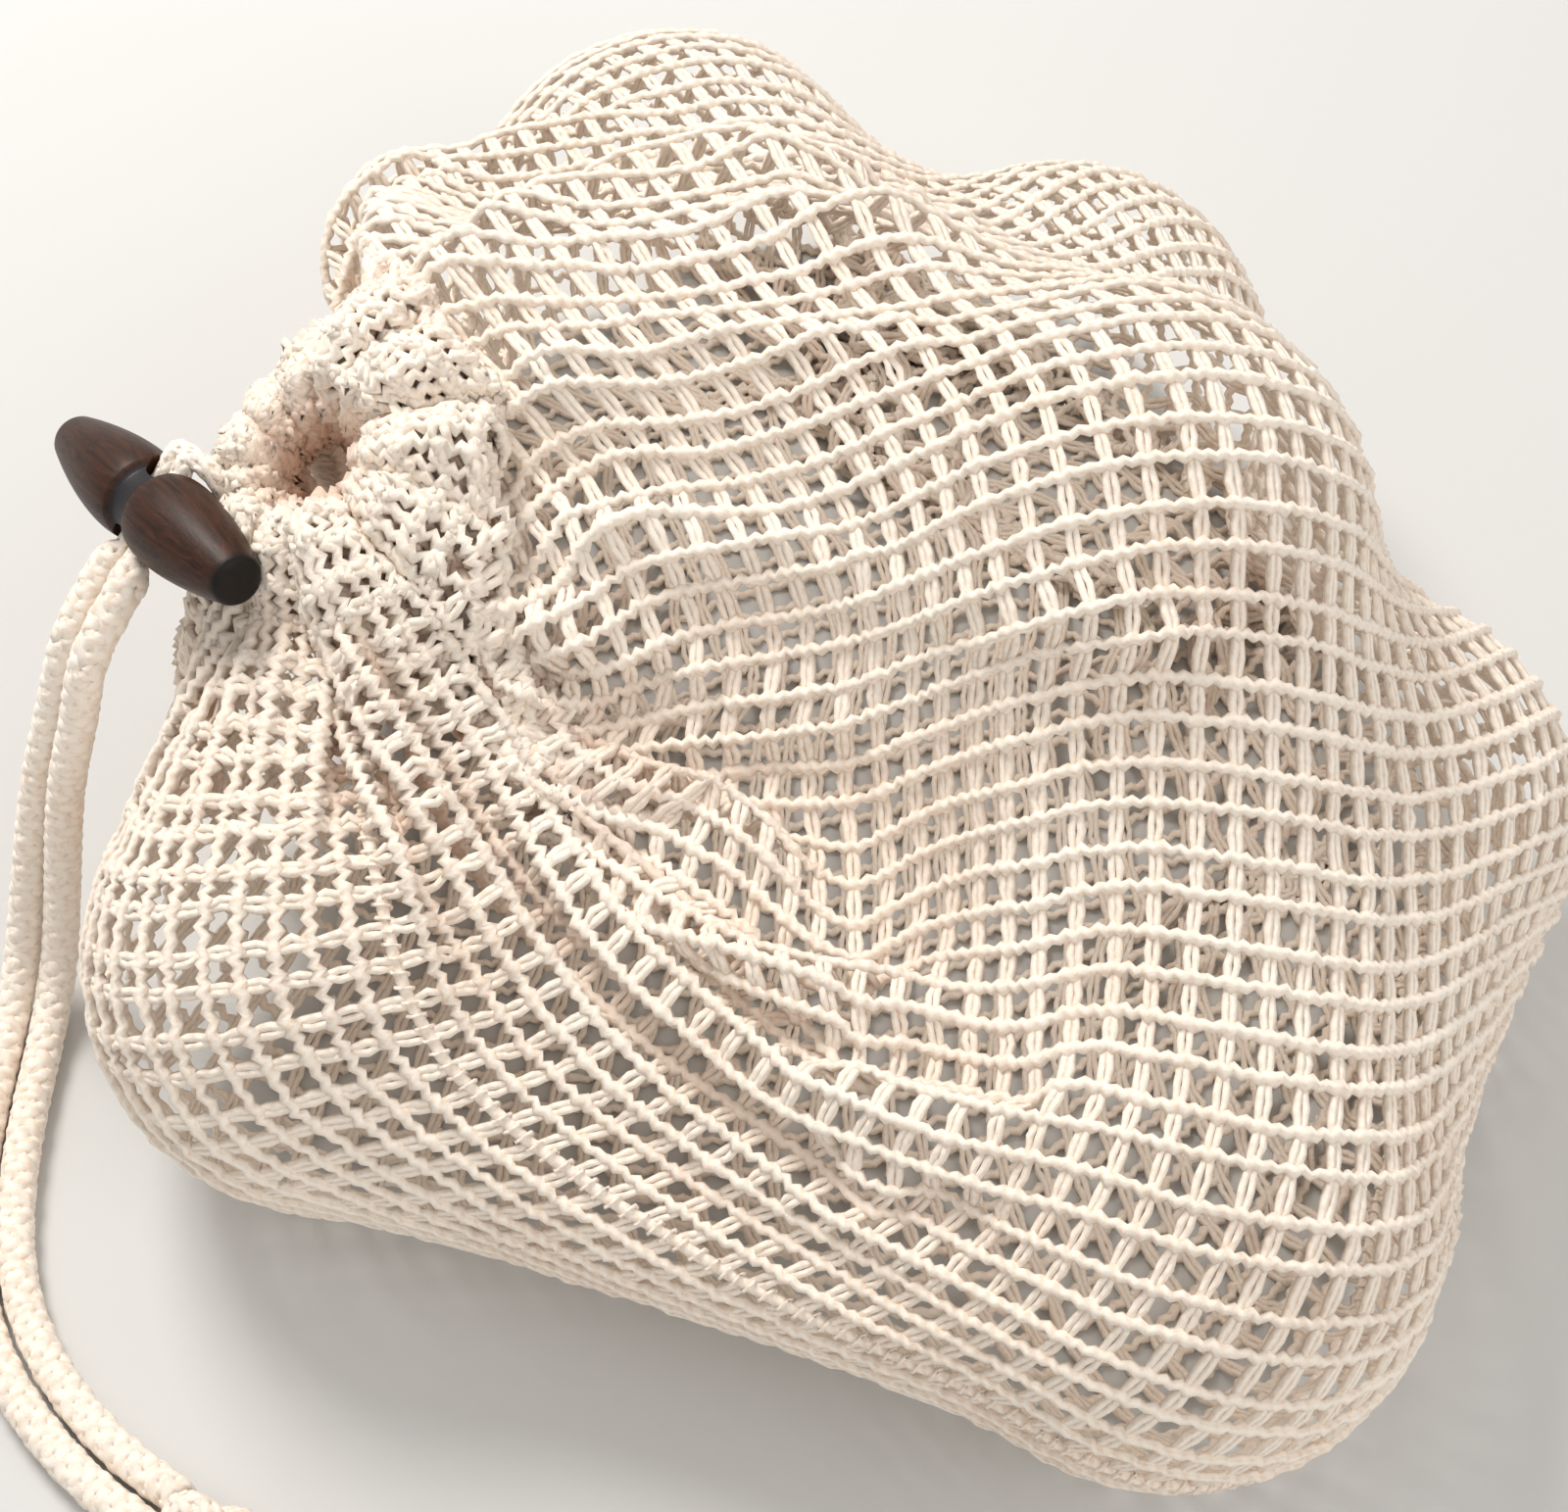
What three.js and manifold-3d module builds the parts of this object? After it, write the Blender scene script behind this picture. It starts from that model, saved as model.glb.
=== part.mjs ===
// Mesh produce bag: a cotton net bag, filled and resting on its back panel, with its mouth drawn
// shut by a braided cord and a turned wooden toggle. Millimetres, +Z up. The origin is the middle
// of the bag's footprint, on the surface it rests on.
import * as THREE from 'three';
import { mergeVertices } from 'three/addons/utils/BufferGeometryUtils.js';
import Module from 'manifold-3d';

const wasm = await Module();
wasm.setup();

const V = (x, y, z) => new THREE.Vector3(x, y, z);
const degrees = THREE.MathUtils.degToRad;

// ---- Driving dimensions -------------------------------------------------------------------

// The filled net is stretched over round contents. Each lump is a centre and a radius.
const LUMPS = [
  { at: V(-79, -55, 38), radius: 38 }, // front left
  { at: V(-69, -6, 40), radius: 35 }, // under the mouth
  { at: V(-21, -53, 35), radius: 34 }, // front middle
  { at: V(50, -99, 39), radius: 39 }, // front right
  { at: V(85, -26, 37), radius: 36 }, // right
  { at: V(42, -7, 84), radius: 40 }, // on top
  { at: V(-10, 25, 74), radius: 36 }, // on top, behind the mouth
  { at: V(-28, 100, 40), radius: 38 }, // back
  { at: V(42, 69, 38), radius: 37 }, // back right
  { at: V(-77, 5, 72), radius: 18 }, // the gathered neck below the mouth
  { at: V(-66, 70, 62), radius: 19 }, // an empty, puffed corner behind the mouth
];
const CORE = V(-5, -6, 42); // every ray from here leaves the bag once
const NET_THICKNESS = 2.6;
const NET_CLEARANCE = 0.8; // from the contents to the net's inner face
const SAG = 0.25; // how far the net follows the hollows between the lumps, 0 to 1
const DEEPEST_SAG = 0.62; // of the taut distance
const SAG_FADES_BELOW = 24; // no hollows under the bag, where its weight lays the net flat
const WRAP_DETAIL = 8; // subdivisions of the net's faces
const WRAP_DIRECTIONS = 700; // in which the taut net's reach is measured

// The seam runs round the bag at an elevation seen from the core: low along the front and back,
// tucked almost under the bag at its sewn bottom edge, and up to the mouth on the left.
const SEAM_LOW = degrees(-3);
const SEAM_BOTTOM_FALL = degrees(-19);
const SEAM_MOUTH_RISE = degrees(36);
const MOUTH_RISE_FADES = [degrees(16), degrees(64)]; // of azimuth from the mouth
const BOTTOM_FALL_FADES = [degrees(30), degrees(62)]; // of azimuth from the bottom edge's middle
const SEAM_STEPS = 72;
const SEAM_HALF_GAP = degrees(0.95);
const SEAM_HALF_WIDTH = degrees(0.6);
const SEAM_PROUD = 0.7;
const BOTTOM_SEAM_FROM = degrees(-16); // azimuths of the bag's two lower corners
const BOTTOM_SEAM_TO = degrees(74);
const SEAM_JOINT = degrees(0.25); // half the gap between seams

// The gathered mouth
const MOUTH = V(-81, 2.5, 92.5);
const MOUTH_AXIS = V(-0.3, -0.3, 0.9).normalize();
const MOUTH_RADIUS = 7.5;
const COLLAR_WIDTH = 25; // of the ruched casing, measured outward from the mouth
const COLLAR_NARROWING = 16.7; // less than that beside the toggle
const NARROWING_FADES = [degrees(60), degrees(120)]; // of turn from the toggle
const COLLAR_HALF_HEIGHT = 7;
const COLLAR_DROOP = 0.3; // fall for each millimetre outward
const PLEATS = 16;
const PLEAT_DEPTH = 1.1;
const CASING_GAP = 0.5; // between the casing of the front and that of the back panel
const TUNNEL_RADIUS = 2.95;
const LOOP_RADIUS = 11.9;
const LOOP_OPENING = degrees(34); // half the arc that the loop leaves open at the toggle
const STITCH_RADIUS = 0.7; // of the yarn that closes the casing
const THROAT_MARGIN = 6; // open space round the mouth,
const THROAT_TOP = 40; // this far above it
const THROAT_BOTTOM = -14; // and this far below

// Toggle
const TOGGLE_CENTRE = V(-106.3, -1.4, 86.8);
const TOGGLE_AXIS = V(0.605, -0.747, 0.272).normalize();
// The cord leaves through the cross hole, square to the toggle's axis.
const SLIDE = V(-0.505, -0.626, -0.595).projectOnPlane(TOGGLE_AXIS).normalize();
const TOGGLE_LENGTH = 55;
const TOGGLE_RADIUS = 7.7;
const TOGGLE_END_RADIUS = 4.2;
const WAIST_RADIUS = 6.1;
const WAIST_WIDTH = 4.4;
const TOGGLE_HOLE_RADIUS = 4;
const TOGGLE_TAPER = 11; // from each end, where the barrel starts to narrow
const TOGGLE_TRAVEL = 18; // along the straight stretch of the cord

// Cord. The two tails lie side by side along one route, which ends at their knot.
const TAIL_ROUTE = [
  V(-122.2, -19.8, 61), V(-125.5, -22.3, 52), V(-128.2, -24.6, 43), V(-130.4, -27, 34),
  V(-132.3, -30, 25), V(-134, -33.6, 16.5), V(-135.5, -38.4, 9.2), V(-136.8, -45, 4.8),
  V(-137.6, -53, 3.4), V(-138.2, -64, 3.3), V(-138.2, -76, 3.3), V(-137, -88, 3.3),
  V(-133.8, -99.5, 3.3), V(-128.6, -109.5, 3.3), V(-121.6, -118.5, 3.3), V(-113.2, -126.5, 3.3),
  V(-103.5, -133.5, 3.3),
];
const KNOT_CENTRE = V(-95.6, -138.6, 7.4);
const KNOT_SIZE = V(9, 7.6, 7.2); // half sizes: along the cord, across it, and high
const KNOT_END_LENGTH = 12;
const CORD_RADIUS = 3.2;
const LOOP_CORD_RADIUS = 2.6; // squeezed by the casing
const NECK_RADIUS = 1.75; // each strand, squeezed through the toggle
const TOUCH = 0.3; // between pieces that touch
const NECK_ROOM = 0.5; // round the strands where they leave the casing
const CORD_SIDES = 8;
const LOOP_STEPS = 30;
const NECK_STEPS = 22;
const TAIL_STEPS = 30;

const COTTON = new THREE.MeshStandardMaterial({ color: 0xe9dcc6, roughness: 0.95, metalness: 0 });
const CORD = new THREE.MeshStandardMaterial({ color: 0xf0e6d6, roughness: 0.95, metalness: 0 });
const WOOD = new THREE.MeshStandardMaterial({ color: 0x3a1f14, roughness: 0.4, metalness: 0 });

// ---- Joining, cutting and naming ----------------------------------------------------------

const bag = new THREE.Group();

function addPiece(name, geometry, material) {
  const piece = new THREE.Mesh(geometry, material);
  piece.name = name;
  bag.add(piece);
  return piece;
}

// A closed geometry as a solid that can be joined and cut.
function solidOf(geometry) {
  const bare = geometry.clone();
  bare.deleteAttribute('normal');
  bare.deleteAttribute('uv');
  const welded = mergeVertices(bare, 1e-4);
  return new wasm.Manifold(new wasm.Mesh({
    numProp: 3,
    vertProperties: Float32Array.from(welded.attributes.position.array),
    triVerts: Uint32Array.from(welded.index.array),
  }));
}

function geometryOf(solid) {
  const mesh = solid.getMesh();
  const geometry = new THREE.BufferGeometry();
  geometry.setAttribute('position', new THREE.BufferAttribute(mesh.vertProperties, 3));
  geometry.setIndex(new THREE.BufferAttribute(mesh.triVerts, 1));
  geometry.computeVertexNormals();
  return geometry;
}

// Moves every vertex of a geometry to where `place` puts it.
function reshape(geometry, place) {
  const spots = geometry.attributes.position;
  for (let i = 0; i < spots.count; i += 1) {
    const moved = place(V(spots.getX(i), spots.getY(i), spots.getZ(i)));
    spots.setXYZ(i, moved.x, moved.y, moved.z);
  }
  return geometry;
}

function roundSection(radius, sides) {
  const section = new THREE.Shape();
  section.absarc(0, 0, radius, 0, 2 * Math.PI);
  return new THREE.Shape(section.getSpacedPoints(sides).slice(0, sides));
}

function tube(points, radius, sides, steps) {
  return new THREE.ExtrudeGeometry(roundSection(radius, sides), {
    steps,
    extrudePath: new THREE.CatmullRomCurve3(points, false, 'centripetal'),
    curveSegments: sides,
  });
}

// ---- The filled net -----------------------------------------------------------------------

// Directions spread evenly over a sphere, with how far the lumps reach along each.
const REACHES = Array.from({ length: WRAP_DIRECTIONS }, (_, i) => {
  const height = 1 - (2 * (i + 0.5)) / WRAP_DIRECTIONS;
  const turn = i * Math.PI * (3 - Math.sqrt(5));
  const ring = Math.sqrt(1 - height * height);
  const way = V(ring * Math.cos(turn), ring * Math.sin(turn), height);
  const reach = Math.max(...LUMPS.map((lump) => way.dot(lump.at.clone().sub(CORE)) + lump.radius));
  return { way, reach };
});
const GRAZING = 0.12; // cosine under which a direction says nothing about a ray

// Where a sheet stretched taut round all the lumps crosses a ray from the core.
function tautDistance(ray) {
  let least = Infinity;
  for (const { way, reach } of REACHES) {
    const facing = way.dot(ray);
    if (facing > GRAZING) least = Math.min(least, reach / facing);
  }
  return least;
}

// Where the ray leaves the last lump on its way, or 0.
function lumpDistance(ray) {
  let most = 0;
  for (const lump of LUMPS) {
    const offset = lump.at.clone().sub(CORE);
    const along = offset.dot(ray);
    const inside = lump.radius ** 2 - (offset.lengthSq() - along ** 2);
    if (inside > 0) most = Math.max(most, along + Math.sqrt(inside));
  }
  return most;
}

function netDistance(ray) {
  const taut = tautDistance(ray);
  const sag = SAG * THREE.MathUtils.smoothstep(CORE.z + taut * ray.z, 0, SAG_FADES_BELOW);
  return taut - sag * (taut - Math.max(lumpDistance(ray), DEEPEST_SAG * taut));
}

// The closed surface that stands `out` from the contents and stops at height `floor`.
function wrap(out, floor) {
  return solidOf(reshape(new THREE.IcosahedronGeometry(1, WRAP_DETAIL), (ray) => {
    ray.normalize();
    const spot = ray.clone().multiplyScalar(netDistance(ray) + out).add(CORE);
    if (spot.z > floor) return spot;
    const onFloor = ray.clone().multiplyScalar((floor - CORE.z) / ray.z).add(CORE);
    return onFloor.setZ(floor);
  }));
}

const MOUTH_AZIMUTH = Math.atan2(MOUTH.y - CORE.y, MOUTH.x - CORE.x);

function turnBetween(a, b) {
  return Math.abs(Math.atan2(Math.sin(a - b), Math.cos(a - b)));
}

function seamElevation(azimuth) {
  const { smoothstep } = THREE.MathUtils;
  const bottomMiddle = (BOTTOM_SEAM_FROM + BOTTOM_SEAM_TO) / 2;
  const fromMouth = smoothstep(turnBetween(azimuth, MOUTH_AZIMUTH), ...MOUTH_RISE_FADES);
  const fromBottom = smoothstep(turnBetween(azimuth, bottomMiddle), ...BOTTOM_FALL_FADES);
  return SEAM_LOW + SEAM_MOUTH_RISE * (1 - fromMouth) + SEAM_BOTTOM_FALL * (1 - fromBottom);
}

// All the space above the seam, raised by an angle: a cone from the core.
const FAR = 400;
function aboveSeam(raisedBy) {
  const cone = new THREE.ConeGeometry(1, 1, SEAM_STEPS, 1);
  return solidOf(reshape(cone, (corner) => {
    if (corner.y > 0) return CORE.clone();
    if (Math.hypot(corner.x, corner.z) < 0.5) return CORE.clone().add(V(0, 0, FAR));
    const azimuth = -Math.atan2(corner.x, corner.z);
    const elevation = seamElevation(azimuth) + raisedBy;
    return V(Math.cos(azimuth), Math.sin(azimuth), Math.tan(elevation))
      .multiplyScalar(FAR).add(CORE);
  }));
}

// ---- The gathered mouth -------------------------------------------------------------------

// A frame on the mouth: outward to the toggle, across, and along the mouth's axis.
const TO_TOGGLE = TOGGLE_CENTRE.clone().sub(MOUTH).projectOnPlane(MOUTH_AXIS).normalize();
const ACROSS = MOUTH_AXIS.clone().cross(TO_TOGGLE);

function atMouth(radius, turn, height) {
  return MOUTH.clone()
    .addScaledVector(TO_TOGGLE, radius * Math.cos(turn))
    .addScaledVector(ACROSS, radius * Math.sin(turn))
    .addScaledVector(MOUTH_AXIS, height);
}

function collarReach(turn) {
  const away = THREE.MathUtils.smoothstep(turnBetween(turn, 0), ...NARROWING_FADES);
  return MOUTH_RADIUS + COLLAR_WIDTH - COLLAR_NARROWING * (1 - away);
}

function droop(radius) {
  return -COLLAR_DROOP * (radius - MOUTH_RADIUS);
}

// A ring round the mouth that follows the casing's section, grown by a margin.
const RING = { radius: 10, tube: 1 };
function collarRing(margin, sides, steps) {
  const ring = new THREE.TorusGeometry(RING.radius, RING.tube, sides, steps);
  return reshape(ring, (corner) => {
    const turn = Math.atan2(corner.y, corner.x);
    const tilt = Math.atan2(corner.z, Math.hypot(corner.x, corner.y) - RING.radius);
    const halfWidth = (collarReach(turn) - MOUTH_RADIUS) / 2;
    const pleat = PLEAT_DEPTH * Math.cos(PLEATS * turn) * ((2 * halfWidth) / COLLAR_WIDTH);
    const radius = MOUTH_RADIUS + halfWidth + (halfWidth + pleat + margin) * Math.cos(tilt);
    const height = (COLLAR_HALF_HEIGHT + pleat + margin) * Math.sin(tilt);
    return atMouth(radius, turn, droop(radius) + height);
  });
}

// ---- The pieces ---------------------------------------------------------------------------

const skin = wrap(NET_CLEARANCE + NET_THICKNESS, 0).subtract(wrap(NET_CLEARANCE, NET_THICKNESS));
const seamSkin = wrap(NET_CLEARANCE + NET_THICKNESS + SEAM_PROUD, 0)
  .subtract(wrap(NET_CLEARANCE - SEAM_PROUD, NET_THICKNESS));

// Everything inside and above the gathered mouth is open.
const collarRoom = solidOf(collarRing(2 * STITCH_RADIUS + 3 * TOUCH, 10, 80));
const throat = solidOf(reshape(
  new THREE.CylinderGeometry(1, 1, 1, 48),
  (corner) => atMouth(
    corner.x ** 2 + corner.z ** 2 > 0.5 ? MOUTH_RADIUS + THROAT_MARGIN : 0,
    Math.atan2(-corner.z, corner.x),
    corner.y > 0 ? THROAT_TOP : THROAT_BOTTOM,
  ),
));
const opening = collarRoom.add(throat);

function addNet() {
  const front = skin.intersect(aboveSeam(SEAM_HALF_GAP)).subtract(opening);
  const back = skin.subtract(aboveSeam(-SEAM_HALF_GAP)).subtract(opening);
  addPiece('front_net_panel', geometryOf(front), COTTON);
  addPiece('back_net_panel', geometryOf(back), COTTON);
}

// A wedge of all the space between two azimuths seen from the core.
function sector(from, to) {
  const outline = new THREE.Shape();
  outline.moveTo(0, 0);
  outline.lineTo(FAR * Math.cos(from), FAR * Math.sin(from));
  outline.absarc(0, 0, FAR, from, to);
  outline.lineTo(0, 0);
  const wedge = new THREE.ExtrudeGeometry(outline, { depth: 2 * FAR, bevelEnabled: false });
  return solidOf(wedge.translate(CORE.x, CORE.y, -FAR));
}

function addSeams() {
  const seam = seamSkin
    .intersect(aboveSeam(-SEAM_HALF_WIDTH))
    .subtract(aboveSeam(SEAM_HALF_WIDTH))
    .subtract(opening);
  const corners = [
    ['bottom_seam', BOTTOM_SEAM_FROM, BOTTOM_SEAM_TO],
    ['side_seam_far', BOTTOM_SEAM_TO, MOUTH_AZIMUTH],
    ['side_seam_near', MOUTH_AZIMUTH, 2 * Math.PI + BOTTOM_SEAM_FROM],
  ];
  for (const [name, from, to] of corners) {
    addPiece(name, geometryOf(seam.intersect(sector(from + SEAM_JOINT, to - SEAM_JOINT))), COTTON);
  }
}

// The two strands of the cord run from the loop in the casing through the toggle.
const NECK_SIDE = Math.sign(ACROSS.dot(TOGGLE_AXIS)); // of the mouth, on the toggle's positive side
const NECK_END = TOGGLE_RADIUS + TOGGLE_TRAVEL + TOUCH;
const STRANDS = [-1, 1];

function onSlide(distance, aside) {
  return TOGGLE_CENTRE.clone()
    .addScaledVector(SLIDE, distance)
    .addScaledVector(TOGGLE_AXIS, aside);
}

const NECK_SPACING = NECK_RADIUS + 0.1;

function neckRoute(side) {
  const loopHeight = droop(LOOP_RADIUS);
  // Out of the casing: each spot's share of the opening and how far it has left the loop.
  const leaving = [[1.5, 0], [1.1, 0], [0.7, 0.4], [0.3, 2.6]];
  // Strands keep this far from the toggle's axis until they face its hole.
  const clear = TOGGLE_RADIUS + NECK_RADIUS + 2 * TOUCH;
  const roundToggle = TO_TOGGLE.clone().add(SLIDE).normalize();
  return [
    ...leaving.map(([share, outward]) => {
      return atMouth(LOOP_RADIUS + outward, share * side * NECK_SIDE * LOOP_OPENING, loopHeight);
    }),
    onSlide(0, side * NECK_SPACING).addScaledVector(roundToggle, -clear - 0.4),
    onSlide(-clear + 0.4, side * NECK_SPACING),
    onSlide(-WAIST_RADIUS, side * NECK_SPACING),
    onSlide(0, side * NECK_SPACING),
    onSlide(NECK_END, side * NECK_SPACING),
  ];
}

function loopRoute() {
  const turns = 24;
  return Array.from({ length: turns + 1 }, (_, i) => {
    const turn = LOOP_OPENING + ((2 * Math.PI - 2 * LOOP_OPENING) * i) / turns;
    return atMouth(LOOP_RADIUS, turn, droop(LOOP_RADIUS));
  });
}

function addDrawcord() {
  let cord = solidOf(tube(loopRoute(), LOOP_CORD_RADIUS, CORD_SIDES, LOOP_STEPS));
  for (const side of STRANDS) {
    cord = cord.add(solidOf(tube(neckRoute(side), NECK_RADIUS, CORD_SIDES, NECK_STEPS)));
  }
  addPiece('drawcord', geometryOf(cord), CORD);
}

function withoutNeckRoom(solid) {
  const room = NECK_RADIUS + NECK_ROOM;
  return STRANDS.reduce((left, side) => {
    return left.subtract(solidOf(tube(neckRoute(side), room, 6, NECK_STEPS)));
  }, solid);
}

function addCasings() {
  const tunnel = solidOf(reshape(
    new THREE.TorusGeometry(LOOP_RADIUS, TUNNEL_RADIUS, 10, 40),
    (corner) => atMouth(
      Math.hypot(corner.x, corner.y),
      Math.atan2(corner.y, corner.x),
      droop(LOOP_RADIUS) + corner.z,
    ),
  ));
  const casing = withoutNeckRoom(solidOf(collarRing(0, 8, 80)).subtract(tunnel));
  // The plane that holds the mouth and the seam on both sides of it.
  const outward = MOUTH.clone().sub(CORE).normalize();
  const upright = V(0, 0, 1).projectOnPlane(outward).normalize();
  const facing = new THREE.Quaternion().setFromUnitVectors(V(0, 0, 1), upright);
  const halves = [['casing_front', 1], ['casing_back', -1]];
  for (const [name, side] of halves) {
    const half = new THREE.BoxGeometry(FAR, FAR, FAR)
      .translate(0, 0, side * (FAR / 2 + CASING_GAP / 2))
      .applyQuaternion(facing)
      .translate(MOUTH.x, MOUTH.y, MOUTH.z);
    addPiece(name, geometryOf(casing.intersect(solidOf(half))), COTTON);
  }
}

// The yarn that closes the casing, just outside its outer edge.
function addHemStitch() {
  const stitch = new THREE.TorusGeometry(RING.radius, STITCH_RADIUS, 4, 80);
  reshape(stitch, (corner) => {
    const turn = Math.atan2(corner.y, corner.x);
    const reach = collarReach(turn);
    const pleat = PLEAT_DEPTH * Math.cos(PLEATS * turn) * ((reach - MOUTH_RADIUS) / COLLAR_WIDTH);
    const outward = Math.hypot(corner.x, corner.y) - RING.radius + STITCH_RADIUS + TOUCH;
    const radius = reach + pleat + outward;
    return atMouth(radius, turn, droop(radius) + corner.z);
  });
  addPiece('hem_stitching', geometryOf(withoutNeckRoom(solidOf(stitch))), CORD);
}

function addTails() {
  const names = ['drawcord_tail_a', 'drawcord_tail_b'];
  STRANDS.forEach((side, i) => {
    const start = onSlide(NECK_END + TOUCH, side * CORD_RADIUS);
    const next = onSlide(NECK_END + 4, side * CORD_RADIUS);
    const middle = new THREE.CatmullRomCurve3(TAIL_ROUTE, false, 'centripetal');
    const route = TAIL_ROUTE.map((spot, k) => {
      const heading = middle.getTangent(k / (TAIL_ROUTE.length - 1));
      const aside = V(0, 0, 1).cross(heading).setZ(0).normalize();
      return spot.clone().addScaledVector(aside, side * (CORD_RADIUS + TOUCH / 2));
    });
    addPiece(names[i], tube([start, next, ...route], CORD_RADIUS, CORD_SIDES, TAIL_STEPS), CORD);
  });
}

// An overhand knot of both tails, with their cut ends standing out of it.
function addKnot() {
  const heading = KNOT_CENTRE.clone().sub(TAIL_ROUTE[TAIL_ROUTE.length - 1]).setZ(0).normalize();
  const knot = new THREE.SphereGeometry(1, 14, 9)
    .rotateX(Math.PI / 2)
    .scale(KNOT_SIZE.x, KNOT_SIZE.y, KNOT_SIZE.z)
    .rotateZ(Math.atan2(heading.y, heading.x))
    .translate(KNOT_CENTRE.x, KNOT_CENTRE.y, KNOT_CENTRE.z);
  let solid = solidOf(knot);
  for (const side of STRANDS) {
    const ends = [0, 0.6, 1].map((share) => KNOT_CENTRE.clone()
      .addScaledVector(heading, KNOT_SIZE.x - 3 + share * (KNOT_END_LENGTH + 3))
      .addScaledVector(V(-heading.y, heading.x, 0), side * (CORD_RADIUS + 0.2 + share * 2))
      .setZ(KNOT_CENTRE.z - share * (KNOT_CENTRE.z - CORD_RADIUS - 0.1)));
    solid = solid.add(solidOf(tube(ends, CORD_RADIUS, CORD_SIDES, 6)));
  }
  addPiece('drawcord_knot', geometryOf(solid), CORD);
}

// Two barrels and a waist between them, turned as one, with a cross hole for both strands.
function addToggle() {
  const half = TOGGLE_LENGTH / 2;
  const groove = WAIST_WIDTH / 2;
  const barrel = new THREE.CubicBezierCurve(
    new THREE.Vector2(TOGGLE_RADIUS - 0.5, groove + 0.9),
    new THREE.Vector2(TOGGLE_RADIUS + 0.5, groove + 5),
    new THREE.Vector2(TOGGLE_RADIUS - 0.6, half - TOGGLE_TAPER),
    new THREE.Vector2(TOGGLE_END_RADIUS, half - 0.9),
  ).getPoints(7);
  const upper = [
    new THREE.Vector2(WAIST_RADIUS, groove),
    ...barrel,
    new THREE.Vector2(TOGGLE_END_RADIUS - 0.8, half - 0.1),
    new THREE.Vector2(0, half),
  ];
  const lower = upper.map((spot) => new THREE.Vector2(spot.x, -spot.y)).reverse();
  const turned = solidOf(new THREE.LatheGeometry([...lower, ...upper], 24));
  const hole = new THREE.CylinderGeometry(TOGGLE_HOLE_RADIUS, TOGGLE_HOLE_RADIUS, 30, 16)
    .rotateZ(Math.PI / 2);
  const toggle = addPiece('toggle', geometryOf(turned.subtract(solidOf(hole))), WOOD);
  toggle.position.copy(TOGGLE_CENTRE);
  toggle.quaternion.setFromRotationMatrix(
    new THREE.Matrix4().makeBasis(SLIDE, TOGGLE_AXIS, SLIDE.clone().cross(TOGGLE_AXIS)),
  );
}

addNet();
addSeams();
addCasings();
addHemStitch();
addDrawcord();
addTails();
addKnot();
addToggle();

export default bag;
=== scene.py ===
import math
import bpy
import numpy as np
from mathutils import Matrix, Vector


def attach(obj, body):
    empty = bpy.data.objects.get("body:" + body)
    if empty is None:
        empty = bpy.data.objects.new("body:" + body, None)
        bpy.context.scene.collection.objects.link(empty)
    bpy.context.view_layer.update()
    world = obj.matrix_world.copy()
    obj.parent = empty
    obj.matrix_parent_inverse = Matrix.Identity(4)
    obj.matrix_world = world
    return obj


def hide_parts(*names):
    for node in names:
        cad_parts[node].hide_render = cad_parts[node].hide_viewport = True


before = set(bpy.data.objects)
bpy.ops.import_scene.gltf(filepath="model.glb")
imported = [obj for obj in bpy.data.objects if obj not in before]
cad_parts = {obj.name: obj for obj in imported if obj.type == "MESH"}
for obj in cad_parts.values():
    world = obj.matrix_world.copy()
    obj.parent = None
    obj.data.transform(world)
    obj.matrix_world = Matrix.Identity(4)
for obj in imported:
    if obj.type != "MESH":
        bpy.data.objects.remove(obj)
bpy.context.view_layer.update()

MM = 0.001
norm = np.linalg.norm

# ---- The bag's dimensions, in millimetres, as in the CAD ----------------------------------

PITCH = 5.75            # from one yarn of the net to the next
COLUMNS = 120           # chain yarns round the bag
HALF = COLUMNS // 2     # the front panel's columns, the rest being the back panel's
ROWS = 56               # ladder rows from the sewn bottom edge to the mouth
CASING_ROWS = 5         # of these, folded double round the drawcord
TOP = ROWS - CASING_ROWS    # the row where the casing starts

# Centre and radius of each round shape that the net is filled out by.
LUMPS = [
    (-79, -55, 38, 38), (-69, -6, 40, 35), (-21, -53, 35, 34), (50, -99, 39, 39),
    (85, -26, 37, 36), (42, -7, 84, 40), (-10, 25, 74, 36), (-28, 100, 40, 38),
    (42, 69, 38, 37), (-66, 70, 62, 19), (-42, -4, 68, 22), (-76, 3, 68, 16),
]
CORE = np.array([-5.0, -6.0, 42.0])     # a spot well inside the bag
CONTACT = 1.2           # from a lump's surface to the middle of the yarn

# The mouth, the toggle beside it and the way that the toggle slides along the cord.
MOUTH = np.array([-81.0, 2.5, 92.5])
MOUTH_AXIS = np.array([-0.3, -0.3, 0.9])
TOGGLE_CENTRE = np.array([-106.3, -1.4, 86.8])
TOGGLE_AXIS = np.array([0.605, -0.747, 0.272])
SLIDE = np.array([-0.505, -0.626, -0.595])
TOGGLE_LENGTH, TOGGLE_RADIUS, TOGGLE_END_RADIUS = 55.0, 7.7, 4.2
TOGGLE_TAPER = 11.0     # how far from its ends the toggle starts to narrow
WAIST_RADIUS, WAIST_WIDTH, HOLE_RADIUS = 6.1, 4.4, 4.0
LOOP_RADIUS, MOUTH_RADIUS, COLLAR_DROOP = 11.9, 7.5, 0.3
CORD_RADIUS, LOOP_CORD_RADIUS, NECK_RADIUS = 3.2, 2.6, 1.75
NECK_END = 26.0         # past the toggle's middle, where the strands become the free tails
TOUCH = 0.3             # between things that all but touch
STRAND_STEP = 0.9       # between the points of a cord's path

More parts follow.
